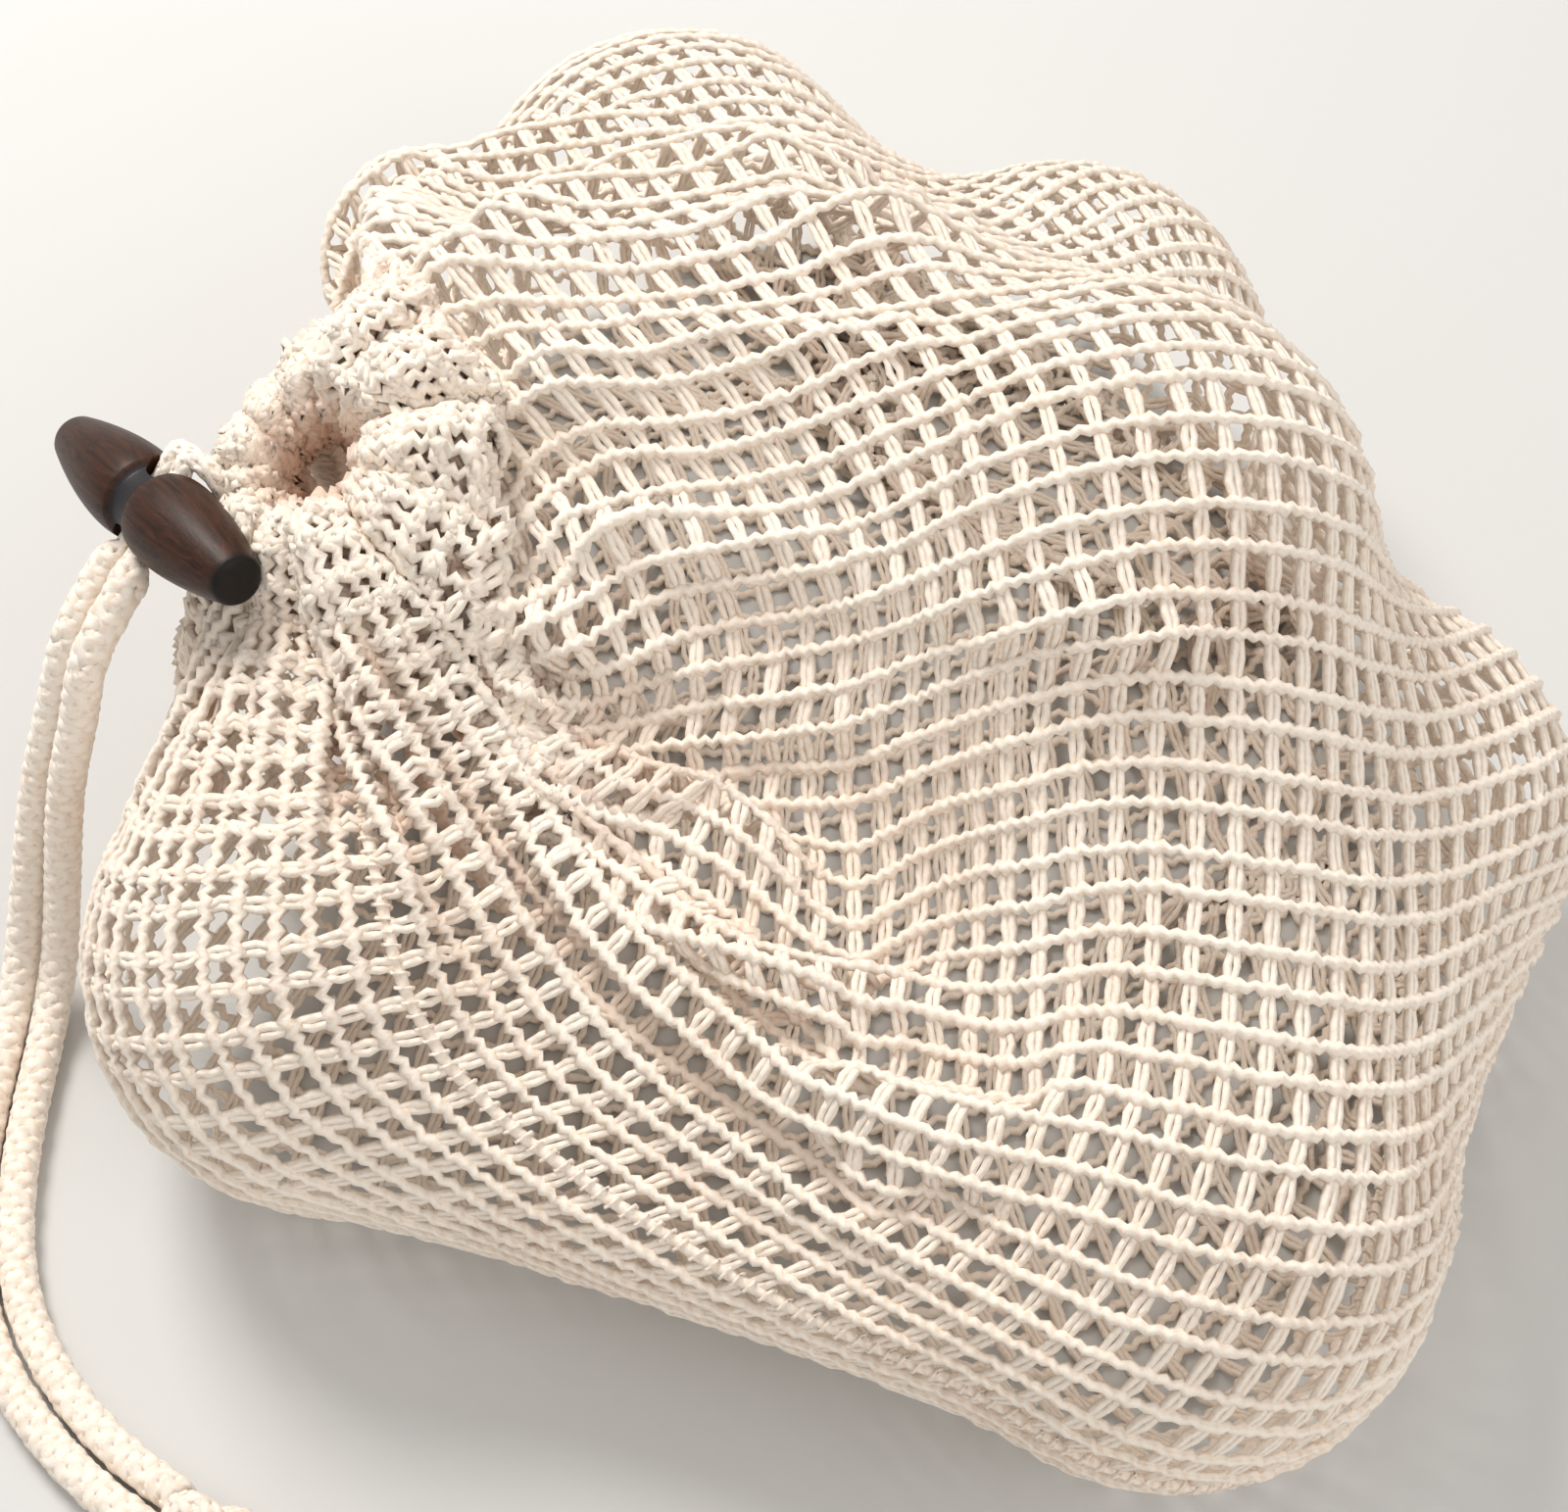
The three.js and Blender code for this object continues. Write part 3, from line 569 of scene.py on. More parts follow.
class Yarns:
    """Collects closed tubes for one mesh."""

    def __init__(self):
        self.spots, self.faces, self.caps, self.marks = [], [], [], []
        self.count = 0

    def add(self, paths, normals, wide, high, sides, start=0.0, crease_shade=0.0):
        """paths and normals are (yarns, points, 3); wide and high are the half sizes."""
        paths = np.asarray(paths, float)
        yarns, points, _ = paths.shape
        ahead = unit(headings(paths) + 1e-12)
        beside = unit(np.cross(ahead, normals) + 1e-12)
        above = np.cross(beside, ahead)
        wide = np.broadcast_to(wide, (yarns, points))[..., None, None]
        high = np.broadcast_to(high, (yarns, points))[..., None, None]
        angle = 2 * np.pi * np.arange(sides) / sides + np.pi / sides
        cos, sin = np.cos(angle)[:, None], np.sin(angle)[:, None]
        ring = (paths[:, :, None] + wide * cos * beside[:, :, None]
                + high * sin * above[:, :, None])
        first = self.count + np.arange(yarns)[:, None, None] * points * sides
        ring_of = np.arange(points - 1)[None, :, None] * sides
        side_of = np.arange(sides)[None, None, :]
        a = first + ring_of + side_of
        b = first + ring_of + (side_of + 1) % sides
        self.faces.append(np.stack([a, b, b + sides, a + sides], -1).reshape(-1, 4))
        starts = (first[:, 0] + np.arange(sides)[None, ::-1])
        ends = (first[:, 0] + (points - 1) * sides + np.arange(sides)[None, :])
        self.caps.append((sides, np.concatenate([starts, ends])))
        step = norm(np.diff(paths, axis=1), axis=2)
        along = np.concatenate([np.zeros((yarns, 1)), np.cumsum(step, 1)], 1) + start
        mark = np.empty((yarns, points, sides, 4))
        mark[..., 0] = along[..., None]
        mark[..., 1] = np.cos(2 * angle)
        mark[..., 2] = np.sin(2 * angle)
        # how much painted crease shade each point's colour gets
        mark[..., 3] = np.broadcast_to(crease_shade, (yarns, points))[..., None]
        self.marks.append(mark.reshape(-1, 4))
        self.spots.append(ring.reshape(-1, 3))
        self.count += yarns * points * sides

    def build(self, name, material):
        spots = np.concatenate(self.spots) * MM
        spots[:, 2] = np.maximum(spots[:, 2], 0)    # pressed flat where the bag lies on it
        quads = np.concatenate(self.faces)
        totals = [np.full(len(quads), 4)] + [np.full(len(c), n) for n, c in self.caps]
        loops = [quads.ravel()] + [c.ravel() for n, c in self.caps]
        totals, loops = np.concatenate(totals), np.concatenate(loops)
        mesh = bpy.data.meshes.new(name)
        mesh.vertices.add(len(spots))
        mesh.vertices.foreach_set("co", spots.astype(np.float32).ravel())
        mesh.loops.add(len(loops))
        mesh.loops.foreach_set("vertex_index", loops.astype(np.int32))
        mesh.polygons.add(len(totals))
        starts = np.concatenate([[0], np.cumsum(totals)[:-1]])
        mesh.polygons.foreach_set("loop_start", starts.astype(np.int32))
        mesh.polygons.foreach_set("loop_total", totals.astype(np.int32))
        mesh.update(calc_edges=True)
        mesh.validate()
        mesh.shade_smooth()
        marks = np.concatenate(self.marks)
        for k, label in enumerate(("along", "twist_cos", "twist_sin", "crease_shade")):
            layer = mesh.attributes.new(label, "FLOAT", "POINT")
            layer.data.foreach_set("value", marks[:, k].astype(np.float32))
        mesh.materials.append(material)
        return new_object(name, mesh)


def painted_crease_shade(net, normals):
    """How much painted shade each spot gets: how deep it lies between the casing's folds, 0 to 1, and 1
    inside the mouth.
    """
    around = net
    for _ in range(5):
        spread = np.roll(around, 1, 0) + np.roll(around, -1, 0)
        spread[:, 1:-1] += around[:, 2:] + around[:, :-2]
        spread[:, [0, -1]] *= 2
        around = 0.3 * around + 0.7 * spread / 4
    deep = np.clip(np.sum((around - net) * normals, -1) / 3.5, 0, 1)
    # The depth becomes painted shade: weaker away from the casing, full inside the mouth
    row = np.arange(ROWS + 1)
    deep = deep * (0.2 + 0.8 * smoothstep(row, TOP - 14, TOP))
    return np.maximum(deep, smoothstep(row, ROWS - 1.8, ROWS))


CHAIN_PARTS, LADDER_PARTS = 5, 4    # steps of a yarn from one crossing to the next
CHAIN_SIZE, KNOT_SIZE = 0.83, 0.29  # a chain's half width, and what a knot adds to it
ZIGZAG = 0.31           # of a chain's stitches to either side
RUNG_SIZE = 0.63        # the radius of each of a rung's two strands
PINCHED_GAP, OPEN_GAP = 0.36, 0.27  # half their distance at a chain, and what it gains between
CASING_FLUFF = 1.32     # how much thicker the crowded yarns of the casing stand


def fluff(row):
    """How thick the yarns of a row stand: plain in the net, fluffed up towards the casing."""
    return 1 + (CASING_FLUFF - 1) * smoothstep(row, TOP - 20, TOP)


def yarn_lines(net, normals, parts):
    """Smooth lines through the crossings, and at each point how deep in a crease it lies and so how
    much painted shade it gets, which way is out of the bag and which way is aside."""
    path, crease_shade = np.split(smooth_path(net, parts), [3], axis=2)
    normal = unit(smooth_path(normals, parts))
    ahead = unit(np.gradient(path, axis=1) + 1e-12)
    return path, crease_shade[..., 0], normal, unit(np.cross(ahead, normal) + 1e-12)


def add_chains(yarns, net, normals, rng, thick):
    """The bumpy yarns that run from the bottom of the bag to its mouth."""
    path, crease_shade, normal, beside = yarn_lines(net, normals, CHAIN_PARTS)
    count, points = crease_shade.shape
    k = np.arange(points)
    knot = 0.5 + 0.5 * np.cos(2 * np.pi * k / CHAIN_PARTS)
    zigzag = np.where(k % 2 == 0, 1, -1) * ZIGZAG + rng.normal(0, 0.10, (count, points))
    zigzag = zigzag * (3 * thick - 2)
    path = path + beside * zigzag[..., None]
    above_rungs = 0.32 + 0.10 * np.where(k % 4 < 2, 1, -1)
    path = path + normal * above_rungs[None, :, None]
    own = thick * rng.normal(1, 0.05, (count, 1)) * rng.normal(1, 0.06, (count, points))
    wide = own * (CHAIN_SIZE + KNOT_SIZE * knot[None, :])
    yarns.add(path, normal, wide, 0.86 * wide, 5, rng.uniform(0, 50), crease_shade)


def add_ladders(yarns, net, normals, rng, thick):
    """The rungs: pairs of plain strands, pinched where they cross a chain."""
    rows = np.swapaxes(net, 0, 1)
    path, crease_shade, normal, beside = yarn_lines(rows, np.swapaxes(normals, 0, 1), LADDER_PARTS)
    count, points = crease_shade.shape
    k = np.arange(points)
    open_ = np.sin(np.pi * k / LADDER_PARTS) ** 2
    path = path - normal * 0.22
    spacing = norm(np.diff(rows[..., :3], axis=1), axis=2)
    slack = np.clip(1 - spacing / PITCH, 0, 0.75)
    bulge = 0.42 * PITCH * np.sqrt(slack) * rng.uniform(0.35, 1.0, slack.shape)
    lean = rng.normal(0, 0.6, slack.shape)
    cell = np.minimum(k // LADDER_PARTS, slack.shape[1] - 1)
    path = path + (bulge * np.cos(lean))[:, cell, None] * open_[None, :, None] * normal
    path = path + (bulge * np.sin(lean))[:, cell, None] * open_[None, :, None] * beside
    for side in (-1, 1):
        gap = PINCHED_GAP + OPEN_GAP * open_[None, :] * rng.normal(1, 0.25, (count, points))
        own = thick * rng.normal(1, 0.05, (count, points))
        strand = path + beside * (side * gap)[..., None]
        strand = strand + normal * rng.normal(0, 0.06, (count, points, 1))
        loop = rng.normal(0, 0.9, (count, points)) * (thick - 1)
        strand = strand + normal * np.abs(loop)[..., None] + beside * loop[..., None]
        wide = own * (RUNG_SIZE + 0.10 * open_[None, :])
        yarns.add(strand, normal, wide, wide, 4, rng.uniform(0, 50), crease_shade)


# ---- Materials ----------------------------------------------------------------------------

class Shader:
    """Short names for a material's nodes and links."""

    def __init__(self, name):
        self.material = bpy.data.materials.new(name)
        self.material.use_nodes = True
        self.tree = self.material.node_tree
        self.surface = self.tree.nodes["Principled BSDF"]

    def node(self, kind, **settings):
        node = self.tree.nodes.new(kind)
        for key, value in settings.items():
            if key in node.inputs:
                node.inputs[key].default_value = value
            else:
                setattr(node, key, value)
        return node

    def link(self, out, into):
        self.tree.links.new(out, into)

    def math(self, operation, *values):
        node = self.node("ShaderNodeMath", operation=operation)
        for k, value in enumerate(values):
            if hasattr(value, "links"):
                self.link(value, node.inputs[k])
            else:
                node.inputs[k].default_value = value
        return node.outputs[0]

    def plus(self, a, b):
        return self.math("ADD", a, b)

    def times(self, a, b):
        return self.math("MULTIPLY", a, b)

    def noise(self, scale, detail, roughness):
        where = self.node("ShaderNodeTexCoord").outputs["Object"]
        node = self.node("ShaderNodeTexNoise", Scale=scale, Detail=detail, Roughness=roughness)
        self.link(where, node.inputs["Vector"])
        return node.outputs["Fac"]

    def ramp(self, value, stops):
        node = self.node("ShaderNodeValToRGB")
        ramp = node.color_ramp
        while len(ramp.elements) < len(stops):
            ramp.elements.new(0.5)
        for element, (place, colour) in zip(ramp.elements, stops):
            element.position = place
            element.color = (*colour, 1)
        self.link(value, node.inputs["Fac"])
        return node.outputs["Color"]

    def mix(self, share, below, colour):
        """The colour laid over what is below it, where share is 1."""
        node = self.node("ShaderNodeMix", data_type="RGBA")
        node.inputs[7].default_value = (*colour, 1)
        self.link(share, node.inputs[0])
        self.link(below, node.inputs[6])
        return node.outputs[2]

    def share(self, value, start, end):
        """0 where the value is start, 1 where it is end."""
        node = self.node("ShaderNodeMapRange", **{"From Min": start, "From Max": end})
        self.link(value, node.inputs["Value"])
        return node.outputs["Result"]

    def attribute(self, name):
        return self.node("ShaderNodeAttribute", attribute_name=name).outputs["Fac"]

    def set(self, socket, value):
        self.surface.inputs[socket].default_value = value

    def bump(self, height, strength, distance):
        node = self.node("ShaderNodeBump", Strength=strength, Distance=distance)
        self.link(height, node.inputs["Height"])
        self.link(node.outputs["Normal"], self.surface.inputs["Normal"])


CREASE_SHADE_COLOUR = (0.60, 0.34, 0.22)   # painted shade of cotton deep between folds and inside the mouth


def cotton(name, pale, deep, twist_length):
    """Undyed cotton: two plies twisted together, short fibres, uneven natural colour, and painted shade
    in the ply grooves, the creases and the mouth.
    """
    s = Shader(name)
    turn = s.times(s.attribute("along"), 2 * math.pi / twist_length)
    ply = s.plus(
        s.times(s.math("SINE", turn), s.attribute("twist_cos")),
        s.times(s.math("COSINE", turn), s.attribute("twist_sin")),
    )
    ply = s.plus(s.times(ply, 0.5), 0.5)
    fibres = s.noise(2600, detail=4.0, roughness=0.7)
    patches = s.noise(34, detail=2.0, roughness=0.6)
    height = s.plus(s.times(ply, 0.6), s.times(fibres, 0.55))
    # Painted shade: the colour darkens where the plies dip into their twist grooves; the fibres and
    # patches add real uneven tone
    tone_and_groove_shade = s.plus(s.times(ply, 0.34), s.times(fibres, 0.46))
    tone_and_groove_shade = s.plus(tone_and_groove_shade, s.times(patches, 0.40))
    # Painted shade: the colour turns dark brown where the yarn lies deep in a crease or inside the mouth
    crease_shade_share = s.times(s.attribute("crease_shade"), 0.8)
    plain = s.ramp(tone_and_groove_shade, [(0.30, deep), (0.62, pale)])
    s.link(s.mix(crease_shade_share, plain, CREASE_SHADE_COLOUR), s.surface.inputs["Base Color"])
    s.set("Roughness", 0.92)
    s.set("Specular IOR Level", 0.2)
    s.set("Sheen Weight", 0.25)
    s.set("Sheen Roughness", 0.5)
    s.bump(height, 0.8, 0.0003)
    return s.material


# ---- The cord -----------------------------------------------------------------------------

def sampled(wanted, known, spots):
    return np.stack([np.interp(wanted, known, spots[:, k]) for k in range(3)], 1)


def distances(path):
    """How far along the path each of its points lies."""
    return np.concatenate([[0], np.cumsum(norm(np.diff(path, axis=0), axis=1))])


def between(t, start, end, first, last):
    """The first spot where t is start, the last one where it is end."""
    return (end - t) / (end - start) * first + (t - start) / (end - start) * last


def curve_through(spots, step):
    """A centripetal Catmull-Rom curve through the spots, in even steps, in millimetres."""
    spots = np.asarray(spots, float)
    ends = [2 * spots[0] - spots[1], 2 * spots[-1] - spots[-2]]
    spots = np.concatenate([ends[:1], spots, ends[1:]])
    knots = np.concatenate([[0], np.cumsum(np.sqrt(norm(np.diff(spots, axis=0), axis=1)))])
    line = []
    for k in range(1, len(spots) - 2):
        t0, t1, t2, t3 = knots[k - 1:k + 3]
        p0, p1, p2, p3 = spots[k - 1:k + 3]
        for t in np.linspace(t1, t2, 24, endpoint=False):
            middle = between(t, t1, t2, p1, p2)
            before = between(t, t0, t2, between(t, t0, t1, p0, p1), middle)
            after = between(t, t1, t3, middle, between(t, t2, t3, p2, p3))
            line.append(between(t, t1, t2, before, after))
    line = np.array(line + [spots[-2]])
    far = distances(line)
    even = np.linspace(0, far[-1], max(4, int(round(far[-1] / step))) + 1)
    return sampled(even, far, line)


def frames_along(path):
    """Directions beside and above the path that don't spin."""
    ahead = unit(np.gradient(path, axis=0))
    above = np.zeros_like(path)
    up = np.array([0.0, 0.0, 1.0]) if abs(ahead[0][2]) < 0.9 else np.array([1.0, 0, 0])
    for k in range(len(path)):
        up = unit(up - ahead[k] * (up @ ahead[k]))
        above[k] = up
    return np.cross(ahead, above), above


# The braid's core and the half sizes of its strands, as shares of the cord's radius.
BRAID_CORE, STRAND_WIDE, STRAND_HIGH = 0.76, 0.42, 0.22


def add_braid(yarns, path, radius, plait=13.0, carriers=4, part=slice(None)):
    """A round braid: carriers one way and as many the other, over and under, on a soft core.
    A carrier goes once round in the length of a plait. Only that part of the path is made."""
    beside, above = frames_along(path)
    far = distances(path)
    size = np.broadcast_to(radius, far.shape)
    full = 2 * np.pi
    for way in (-1, 1):
        for k in range(carriers):
            angle = way * full * far / plait + full * k / carriers
            other = 0 if way > 0 else np.pi
            weave = np.cos(carriers * full * far / plait + other + np.pi * k)
            reach = size * (BRAID_CORE + 0.05 * weave)
            out = np.cos(angle)[:, None] * beside + np.sin(angle)[:, None] * above
            strand = path + reach[:, None] * out
            made = (strand, out, STRAND_WIDE * size, STRAND_HIGH * size)
            yarns.add(*(v[None, part] for v in made), 7)
    core = BRAID_CORE * size
    yarns.add(*(v[None, part] for v in (path, above, core, core)), 8)


def on_slide(distance, aside):
    """A spot that far past the toggle's middle and that far along the toggle's length."""
    return TOGGLE_CENTRE + SLIDE * distance + TOGGLE_AXIS * aside


NECK_SIDE = np.sign(ACROSS @ TOGGLE_AXIS)
LOOP_OPENING = math.radians(34)
SWELL_FROM, SWELL_TO = 7.6, 11.0    # past the toggle's middle, where the strands fatten again


def strand_route(side):
    """One strand from the loop through the toggle and on as a tail, in even steps, with how far
    each point lies past the toggle's middle."""
    height = -COLLAR_DROOP * (LOOP_RADIUS - MOUTH_RADIUS)
    turn = side * NECK_SIDE * LOOP_OPENING
    clear = TOGGLE_RADIUS + NECK_RADIUS + 2 * TOUCH
    squeezed = NECK_RADIUS + 0.1
    loose = CORD_RADIUS + TOUCH / 2
    round_toggle = unit(TO_TOGGLE + SLIDE)
    leaving = [(1.5, 0), (1.1, 0), (0.7, 0.4), (0.3, 2.6)]      # the loop's end: turn and way out
    neck = [at_mouth(LOOP_RADIUS + out, share * turn, height) for share, out in leaving]
    neck += [
        on_slide(0, side * squeezed) - round_toggle * (clear + 0.4),
        on_slide(-clear + 0.4, side * squeezed),
        on_slide(-WAIST_RADIUS, side * squeezed),
        on_slide(0, side * squeezed),
        on_slide(TOGGLE_RADIUS, side * squeezed),
        on_slide(SWELL_TO + 1, side * loose),
        on_slide(NECK_END, side * loose),
    ]
    middle = np.array(TAIL_ROUTE, float)
    heading = unit(np.gradient(middle, axis=0))
    aside = unit(np.stack([-heading[:, 1], heading[:, 0], np.zeros(len(middle))], 1))
    path = curve_through(np.concatenate([neck, middle + side * loose * aside]), STRAND_STEP)
    hanging = np.flatnonzero((path - TOGGLE_CENTRE) @ SLIDE > SWELL_TO + 2)
    hanging = hanging[path[hanging, 2] > 12]
    for _ in range(60):     # eases the bends of the hanging part
        path[hanging] += 0.25 * (path[hanging - 1] + path[hanging + 1] - 2 * path[hanging])
    past = (path - TOGGLE_CENTRE) @ SLIDE
    by_toggle = norm(path - TOGGLE_CENTRE, axis=1).argmin()
    past[:by_toggle] = np.minimum(past[:by_toggle], 0)
    return path, past


def strand_size(past):
    """The strand's radius: squeezed by the toggle, then full."""
    return NECK_RADIUS + (CORD_RADIUS - NECK_RADIUS) * smoothstep(past, SWELL_FROM, SWELL_TO)


def add_drawcord(material):
    """The loop in the casing and both strands as far as the end of the toggle's travel."""
    turn = LOOP_OPENING + (2 * np.pi - 2 * LOOP_OPENING) * np.arange(25) / 24
    height = -COLLAR_DROOP * (LOOP_RADIUS - MOUTH_RADIUS)
    loop = at_mouth(np.full(25, LOOP_RADIUS), turn, np.full(25, height))
    yarns = Yarns()
    add_braid(yarns, curve_through(loop, STRAND_STEP), LOOP_CORD_RADIUS)
    for side in (-1, 1):
        path, past = strand_route(side)
        joint = np.argmax(past > NECK_END)
        add_braid(yarns, path, strand_size(past), part=slice(0, joint))
    cord = yarns.build("drawcord_in_casing", material)
    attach(cord, "bag")
    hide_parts("drawcord")


def add_tails(material):
    """The free tails, each with its path and its length."""
    tails = []
    for side, name in ((-1, "drawcord_tail_a"), (1, "drawcord_tail_b")):
        path, past = strand_route(side)
        joint = np.argmax(past > NECK_END)
        yarns = Yarns()
        add_braid(yarns, path, strand_size(past), part=slice(joint - 1, None))
        tail = yarns.build("braided_" + name, material)
        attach(tail, "bag")
        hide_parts(name)
        path = path[joint - 1:]
        tails.append((tail, path, norm(np.diff(path, axis=0), axis=1).sum()))
    return tails


KNOTTED_RADIUS = 2.5    # of the cord where the knot squeezes it


def add_knot(material):
    """Both tails tied in one overhand knot, with their cut ends standing out of it."""
    heading = KNOT_CENTRE - np.array(TAIL_ROUTE[-1])
    heading[2] = 0
    heading = unit(heading)
    aside = np.array([-heading[1], heading[0], 0])
    up = np.array([0.0, 0, 1])
    yarns = Yarns()
    gap = 0.35              # where the trefoil is left open
    t = np.linspace(gap, 2 * np.pi - gap, 60)
    trefoil = np.stack([
        np.cos(t) - 2 * np.cos(2 * t),
        np.sin(t) + 2 * np.sin(2 * t),
        -np.sin(3 * t),
    ], 1)
    for side in (-1, 1):
        scale = np.array([1.75, 1.45, 2.6]) + side * np.array([0.25, 0.2, 0.2])
        place = trefoil * scale
        spots = (KNOT_CENTRE + place[:, :1] * heading + place[:, 1:2] * aside
                 + (place[:, 2:] + side * 1.2) * up)
        path = curve_through(spots[::4], STRAND_STEP)
        add_braid(yarns, path, KNOTTED_RADIUS, plait=11.0)
        share = np.array([0.0, 0.5, 1.0])[:, None]
        hidden = 4          # of each cut end, inside the knot
        out = KNOT_HALF_LENGTH - hidden + share * (KNOT_END_LENGTH + hidden)
        end = KNOT_CENTRE + heading * out + aside * side * (CORD_RADIUS + 0.2 + share * 2)
        end[:, 2] = KNOT_CENTRE[2] - share[:, 0] * (KNOT_CENTRE[2] - CORD_RADIUS - 0.1)
        add_braid(yarns, curve_through(end, 0.8), CORD_RADIUS)
    knot = yarns.build("drawcord_end_knot", material)
    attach(knot, "bag")
    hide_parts("drawcord_knot")
    return knot


# ---- The toggle ---------------------------------------------------------------------------

def turned_profile():
    """Radius and height along the axis, from one end's middle to the other's."""
    half, groove = TOGGLE_LENGTH / 2, WAIST_WIDTH / 2
    t = np.linspace(0, 1, 40)
    ctrl = np.array([
        (TOGGLE_RADIUS - 0.5, groove + 0.9), (TOGGLE_RADIUS + 0.5, groove + 5),
        (TOGGLE_RADIUS - 0.6, half - TOGGLE_TAPER), (TOGGLE_END_RADIUS, half - 0.9),
    ])
    b = [(1 - t) ** 3, 3 * t * (1 - t) ** 2, 3 * t ** 2 * (1 - t), t ** 3]
    barrel = sum(w[:, None] * c for w, c in zip(b, ctrl))
    shoulder = [(WAIST_RADIUS, 0), (WAIST_RADIUS, groove * 0.7), (WAIST_RADIUS + 0.12, groove),
                (TOGGLE_RADIUS - 0.95, groove + 0.35)]
    end = [(TOGGLE_END_RADIUS - 0.25, half - 0.45), (TOGGLE_END_RADIUS - 0.7, half - 0.2),
           (TOGGLE_END_RADIUS * 0.6, half - 0.02), (TOGGLE_END_RADIUS * 0.3, half), (0, half)]
    upper = np.array(shoulder + [tuple(p) for p in barrel] + end)
    lower = upper[1:][::-1] * np.array([1, -1])
    return np.concatenate([lower, upper])


TURN_AXIS = np.cross(SLIDE, TOGGLE_AXIS)


def turned_mesh(name, profile, sides=72):
    """The profile turned round the toggle's axis, closed at both ends."""
    turn = 2 * np.pi * np.arange(sides) / sides
    rings = profile[1:-1]
    out = np.cos(turn)[:, None] * SLIDE + np.sin(turn)[:, None] * TURN_AXIS
    spots = (TOGGLE_CENTRE + rings[:, None, :1] * out[None]
             + rings[:, None, 1:] * TOGGLE_AXIS).reshape(-1, 3)
    poles = TOGGLE_CENTRE + profile[[0, -1], 1:] * TOGGLE_AXIS
    spots = np.concatenate([spots, poles])
    faces = []
    for r in range(len(rings) - 1):
        for k in range(sides):
            n = (k + 1) % sides
            faces.append((r * sides + k, (r + 1) * sides + k, (r + 1) * sides + n, r * sides + n))
    low, high = len(spots) - 2, len(spots) - 1
    last = (len(rings) - 1) * sides
    for k in range(sides):
        n = (k + 1) % sides
        faces.append((low, k, n))
        faces.append((high, last + n, last + k))
    mesh = bpy.data.meshes.new(name)
    mesh.from_pydata([tuple(p) for p in spots * MM], [], faces)
    mesh.update()
    return mesh


def drill_cross_hole(toggle):
    bpy.ops.mesh.primitive_cylinder_add(vertices=48, radius=HOLE_RADIUS * MM, depth=0.04)
    drill = bpy.context.object
    drill.location = TOGGLE_CENTRE * MM
    drill.rotation_mode = "QUATERNION"
    drill.rotation_quaternion = Vector(SLIDE).to_track_quat("Z", "Y")
    cut = toggle.modifiers.new("cross_hole", "BOOLEAN")
    cut.object = drill
    cut.operation = "DIFFERENCE"
    cut.solver = "EXACT"
    bpy.context.view_layer.objects.active = toggle
    bpy.ops.object.modifier_apply(modifier=cut.name)
    bpy.data.objects.remove(drill)


def add_toggle(material):
    toggle = new_object("turned_toggle", turned_mesh("turned_toggle", turned_profile()))
    drill_cross_hole(toggle)
    mesh = toggle.data
    mesh.materials.clear()
    mesh.materials.append(material)
    mesh.shade_smooth()
    mesh.set_sharp_from_angle(angle=math.radians(50))
    local = np.empty(len(mesh.vertices) * 3, np.float32)
    mesh.vertices.foreach_get("co", local)
    from_centre = local.reshape(-1, 3) / MM - TOGGLE_CENTRE
    for label, way in (("axis_mm", TOGGLE_AXIS), ("grain_u", SLIDE), ("grain_v", TURN_AXIS)):
        layer = mesh.attributes.new(label, "FLOAT", "POINT")
        layer.data.foreach_set("value", (from_centre @ way).astype(np.float32))
    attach(toggle, "toggle")
    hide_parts("toggle")


def dark_wood():
    """Stained turned wood: long grain, fine pores, ends that took more stain, and a groove painted dark
    grey as the sky's reflection in its lacquer.
    """
    s = Shader("dark_wood")
    axis = s.attribute("axis_mm")
    combine = s.node("ShaderNodeCombineXYZ")
    s.link(s.attribute("grain_u"), combine.inputs[0])
    s.link(s.attribute("grain_v"), combine.inputs[1])
    s.link(s.times(axis, 0.09), combine.inputs[2])   # drawn out along the axis
    grain = s.node("ShaderNodeTexNoise", Scale=1.1, Detail=5.0, Roughness=0.62, Distortion=0.6)
    s.link(combine.outputs[0], grain.inputs["Vector"])
    pores = s.node("ShaderNodeTexNoise", Scale=6.0, Detail=3.0, Roughness=0.7)
    s.link(combine.outputs[0], pores.inputs["Vector"])
    colour = s.ramp(grain.outputs["Fac"], [
        (0.28, (0.010, 0.004, 0.002)), (0.46, (0.032, 0.011, 0.005)),
        (0.64, (0.060, 0.019, 0.008)), (0.82, (0.095, 0.032, 0.013)),
    ])
    far = s.math("ABSOLUTE", axis)
    at_end = s.share(far, TOGGLE_LENGTH / 2 - 1.9, TOGGLE_LENGTH / 2 - 0.7)
    # Painted reflection: the groove is coloured dark grey, standing in for the sky reflected in its
    # lacquer
    groove_reflection = s.share(far, 2.9, 2.0)
    colour = s.mix(at_end, colour, (0.007, 0.005, 0.004))
    colour = s.mix(groove_reflection, colour, (0.022, 0.021, 0.024))
    s.link(colour, s.surface.inputs["Base Color"])
    gloss = s.plus(s.times(pores.outputs["Fac"], 0.30), 0.30)
    s.link(gloss, s.surface.inputs["Roughness"])
    s.set("Specular IOR Level", 0.22)
    s.set("Coat Weight", 0.06)
    s.set("Coat Roughness", 0.25)
    height = s.plus(s.times(pores.outputs["Fac"], 0.5), s.times(grain.outputs["Fac"], 0.5))
    s.bump(height, 0.35, 0.0003)
    return s.material


# ---- The cloth ----------------------------------------------------------------------------

def panel_parts(grid, panel):
    """The columns of the front or the back panel, its two edge columns included."""
    if panel == "front":
        return grid[:HALF + 1]
    return np.concatenate([grid[HALF:], grid[:1]])


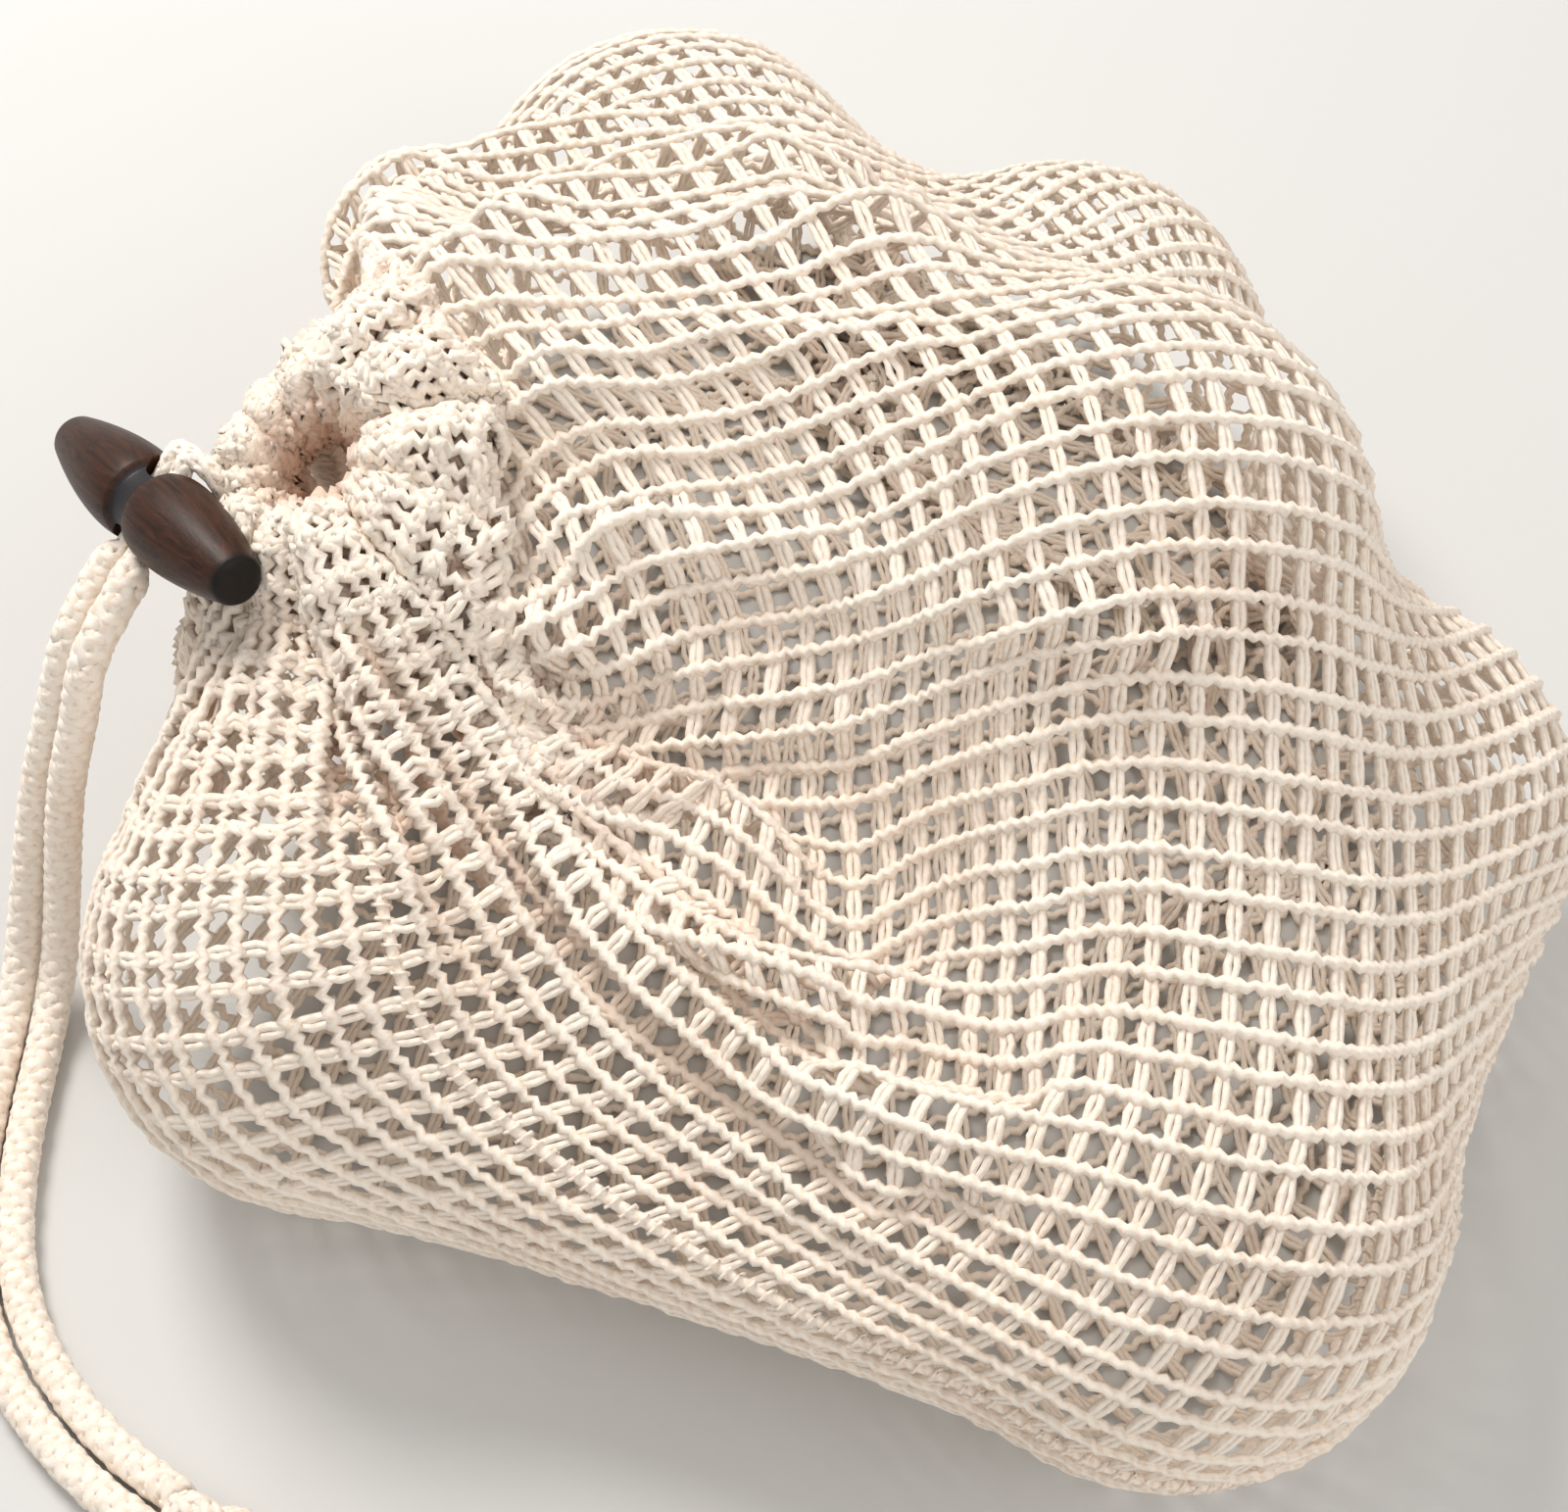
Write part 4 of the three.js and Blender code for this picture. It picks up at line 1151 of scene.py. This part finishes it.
def add_panel(name, node, net, normals, panel, rng, material):
    """One panel's net, from the bottom edge to the casing. Beside its place, each crossing of
    the net says how deep in a crease it lies, and so how much painted shade its yarns get."""
    columns = panel_parts(net, panel)[:, :TOP + 1]
    faces = panel_parts(normals, panel)[:, :TOP + 1]
    yarns = Yarns()
    rows = columns.shape[1]
    up_chain = fluff(np.arange((rows - 1) * CHAIN_PARTS + 1) / CHAIN_PARTS)
    add_chains(yarns, columns[1:-1], faces[1:-1], rng, up_chain[None, :])
    add_ladders(yarns, columns[:, 1:], faces[:, 1:], rng, fluff(np.arange(1, rows))[:, None])
    cloth = yarns.build(name, material)
    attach(cloth, "bag")
    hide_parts(node)
    return cloth


def add_casing(name, node, net, normals, panel, rng, material):
    """The top rows, doubled: the outer layer and the hem folded down inside it."""
    columns = panel_parts(net, panel)[:, TOP:]
    faces = panel_parts(normals, panel)[:, TOP:]
    yarns = Yarns()
    add_chains(yarns, columns, faces, rng, CASING_FLUFF)
    add_ladders(yarns, columns[:, 1:], faces[:, 1:], rng, CASING_FLUFF)
    inner = columns.copy()
    deeper = 1.9            # than the outer layer
    inner[..., :3] += rng.normal(0, 0.3, faces.shape) - deeper * faces
    inner[:-1] = 0.5 * (inner[:-1] + inner[1:])
    # The hem inside gets at least half the painted crease shade, as shade under the outer layer
    inner[..., 3] = np.maximum(inner[..., 3], 0.5)
    add_chains(yarns, inner[:-1], -faces[:-1], rng, CASING_FLUFF)
    add_ladders(yarns, inner[:, :-1], -faces[:, :-1], rng, CASING_FLUFF)
    cloth = yarns.build(name, material)
    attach(cloth, "bag")
    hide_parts(node)


def add_seam(name, node, line, normal, rng, material, width=1.6):
    """An overlocked edge: a rope of cloth with sewing yarn wound over it."""
    path = smooth_path(line[None], 5)
    above = unit(smooth_path(normal[None], 5))
    yarns = Yarns()
    points = path.shape[1]
    wide = 1.05 * rng.normal(1, 0.05, (1, points))
    yarns.add(path, above, wide, 0.8 * wide, 6)
    ahead = unit(np.gradient(path[0], axis=0))
    beside = np.cross(ahead, above[0])
    k = np.arange((points - 1) * 4 + 1) / 4
    fine, side, high = (sampled(k, np.arange(points), v) for v in (path[0], beside, above[0]))
    angle = 2 * np.pi * k / 1.9
    coil = fine + side * (width * 0.86 * np.cos(angle))[:, None]
    coil = coil + high * (width * 0.62 * np.sin(angle))[:, None]
    yarns.add(coil[None], high[None], 0.34, 0.34, 4)
    seam = yarns.build(name, material)
    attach(seam, "bag")
    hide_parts(node)


def add_hem_stitching(net, normals, material):
    """A running stitch round the lower edge of the casing."""
    row = net[:, TOP]
    above = normals[:, TOP]
    row = np.concatenate([row, row[:1]])
    above = np.concatenate([above, above[:1]])
    path = smooth_path(row[None], 8)
    above = unit(smooth_path(above[None], 8))
    k = np.arange(path.shape[1])
    over_and_under = 0.75 + 0.55 * np.cos(2 * np.pi * k / 4)
    path = path + above * over_and_under[None, :, None]
    yarns = Yarns()
    yarns.add(path, above, 0.42, 0.36, 5)
    stitch = yarns.build("casing_hem_stitching", material)
    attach(stitch, "bag")
    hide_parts("hem_stitching")


def add_bag():
    """The net, its casing and its seams."""
    net = settle_net()
    rng = np.random.default_rng(11)
    net = net + rng.normal(0, 0.12, net.shape)
    normals = net_normals(net)
    shaded = np.concatenate([net, painted_crease_shade(net, normals)[..., None]], axis=2)
    material = cotton("cotton_net", (0.98, 0.885, 0.78), (0.83, 0.63, 0.48), 2.4)
    seam_yarn = cotton("seam_yarn", (0.98, 0.885, 0.785), (0.83, 0.64, 0.49), 1.6)
    front = add_panel("front_net", "front_net_panel", shaded, normals, "front", rng, material)
    back = add_panel("back_net", "back_net_panel", shaded, normals, "back", rng, material)
    add_casing("front_casing", "casing_front", shaded, normals, "front", rng, material)
    add_casing("back_casing", "casing_back", shaded, normals, "back", rng, material)
    for name, node, part in (
        ("bottom_overlock", "bottom_seam", np.s_[:HALF + 1, 0]),
        ("near_side_overlock", "side_seam_near", np.s_[0, :TOP + 1]),
        ("far_side_overlock", "side_seam_far", np.s_[HALF, :TOP + 1]),
    ):
        add_seam(name, node, net[part], normals[part], rng, seam_yarn)
    add_hem_stitching(net, normals, seam_yarn)


add_camera()
add_studio()
cord_cotton = cotton("cord_cotton", (0.98, 0.895, 0.80), (0.84, 0.66, 0.51), 3.0)
add_drawcord(cord_cotton)
tails = add_tails(cord_cotton)
add_knot(cord_cotton)
add_toggle(dark_wood())
add_bag()
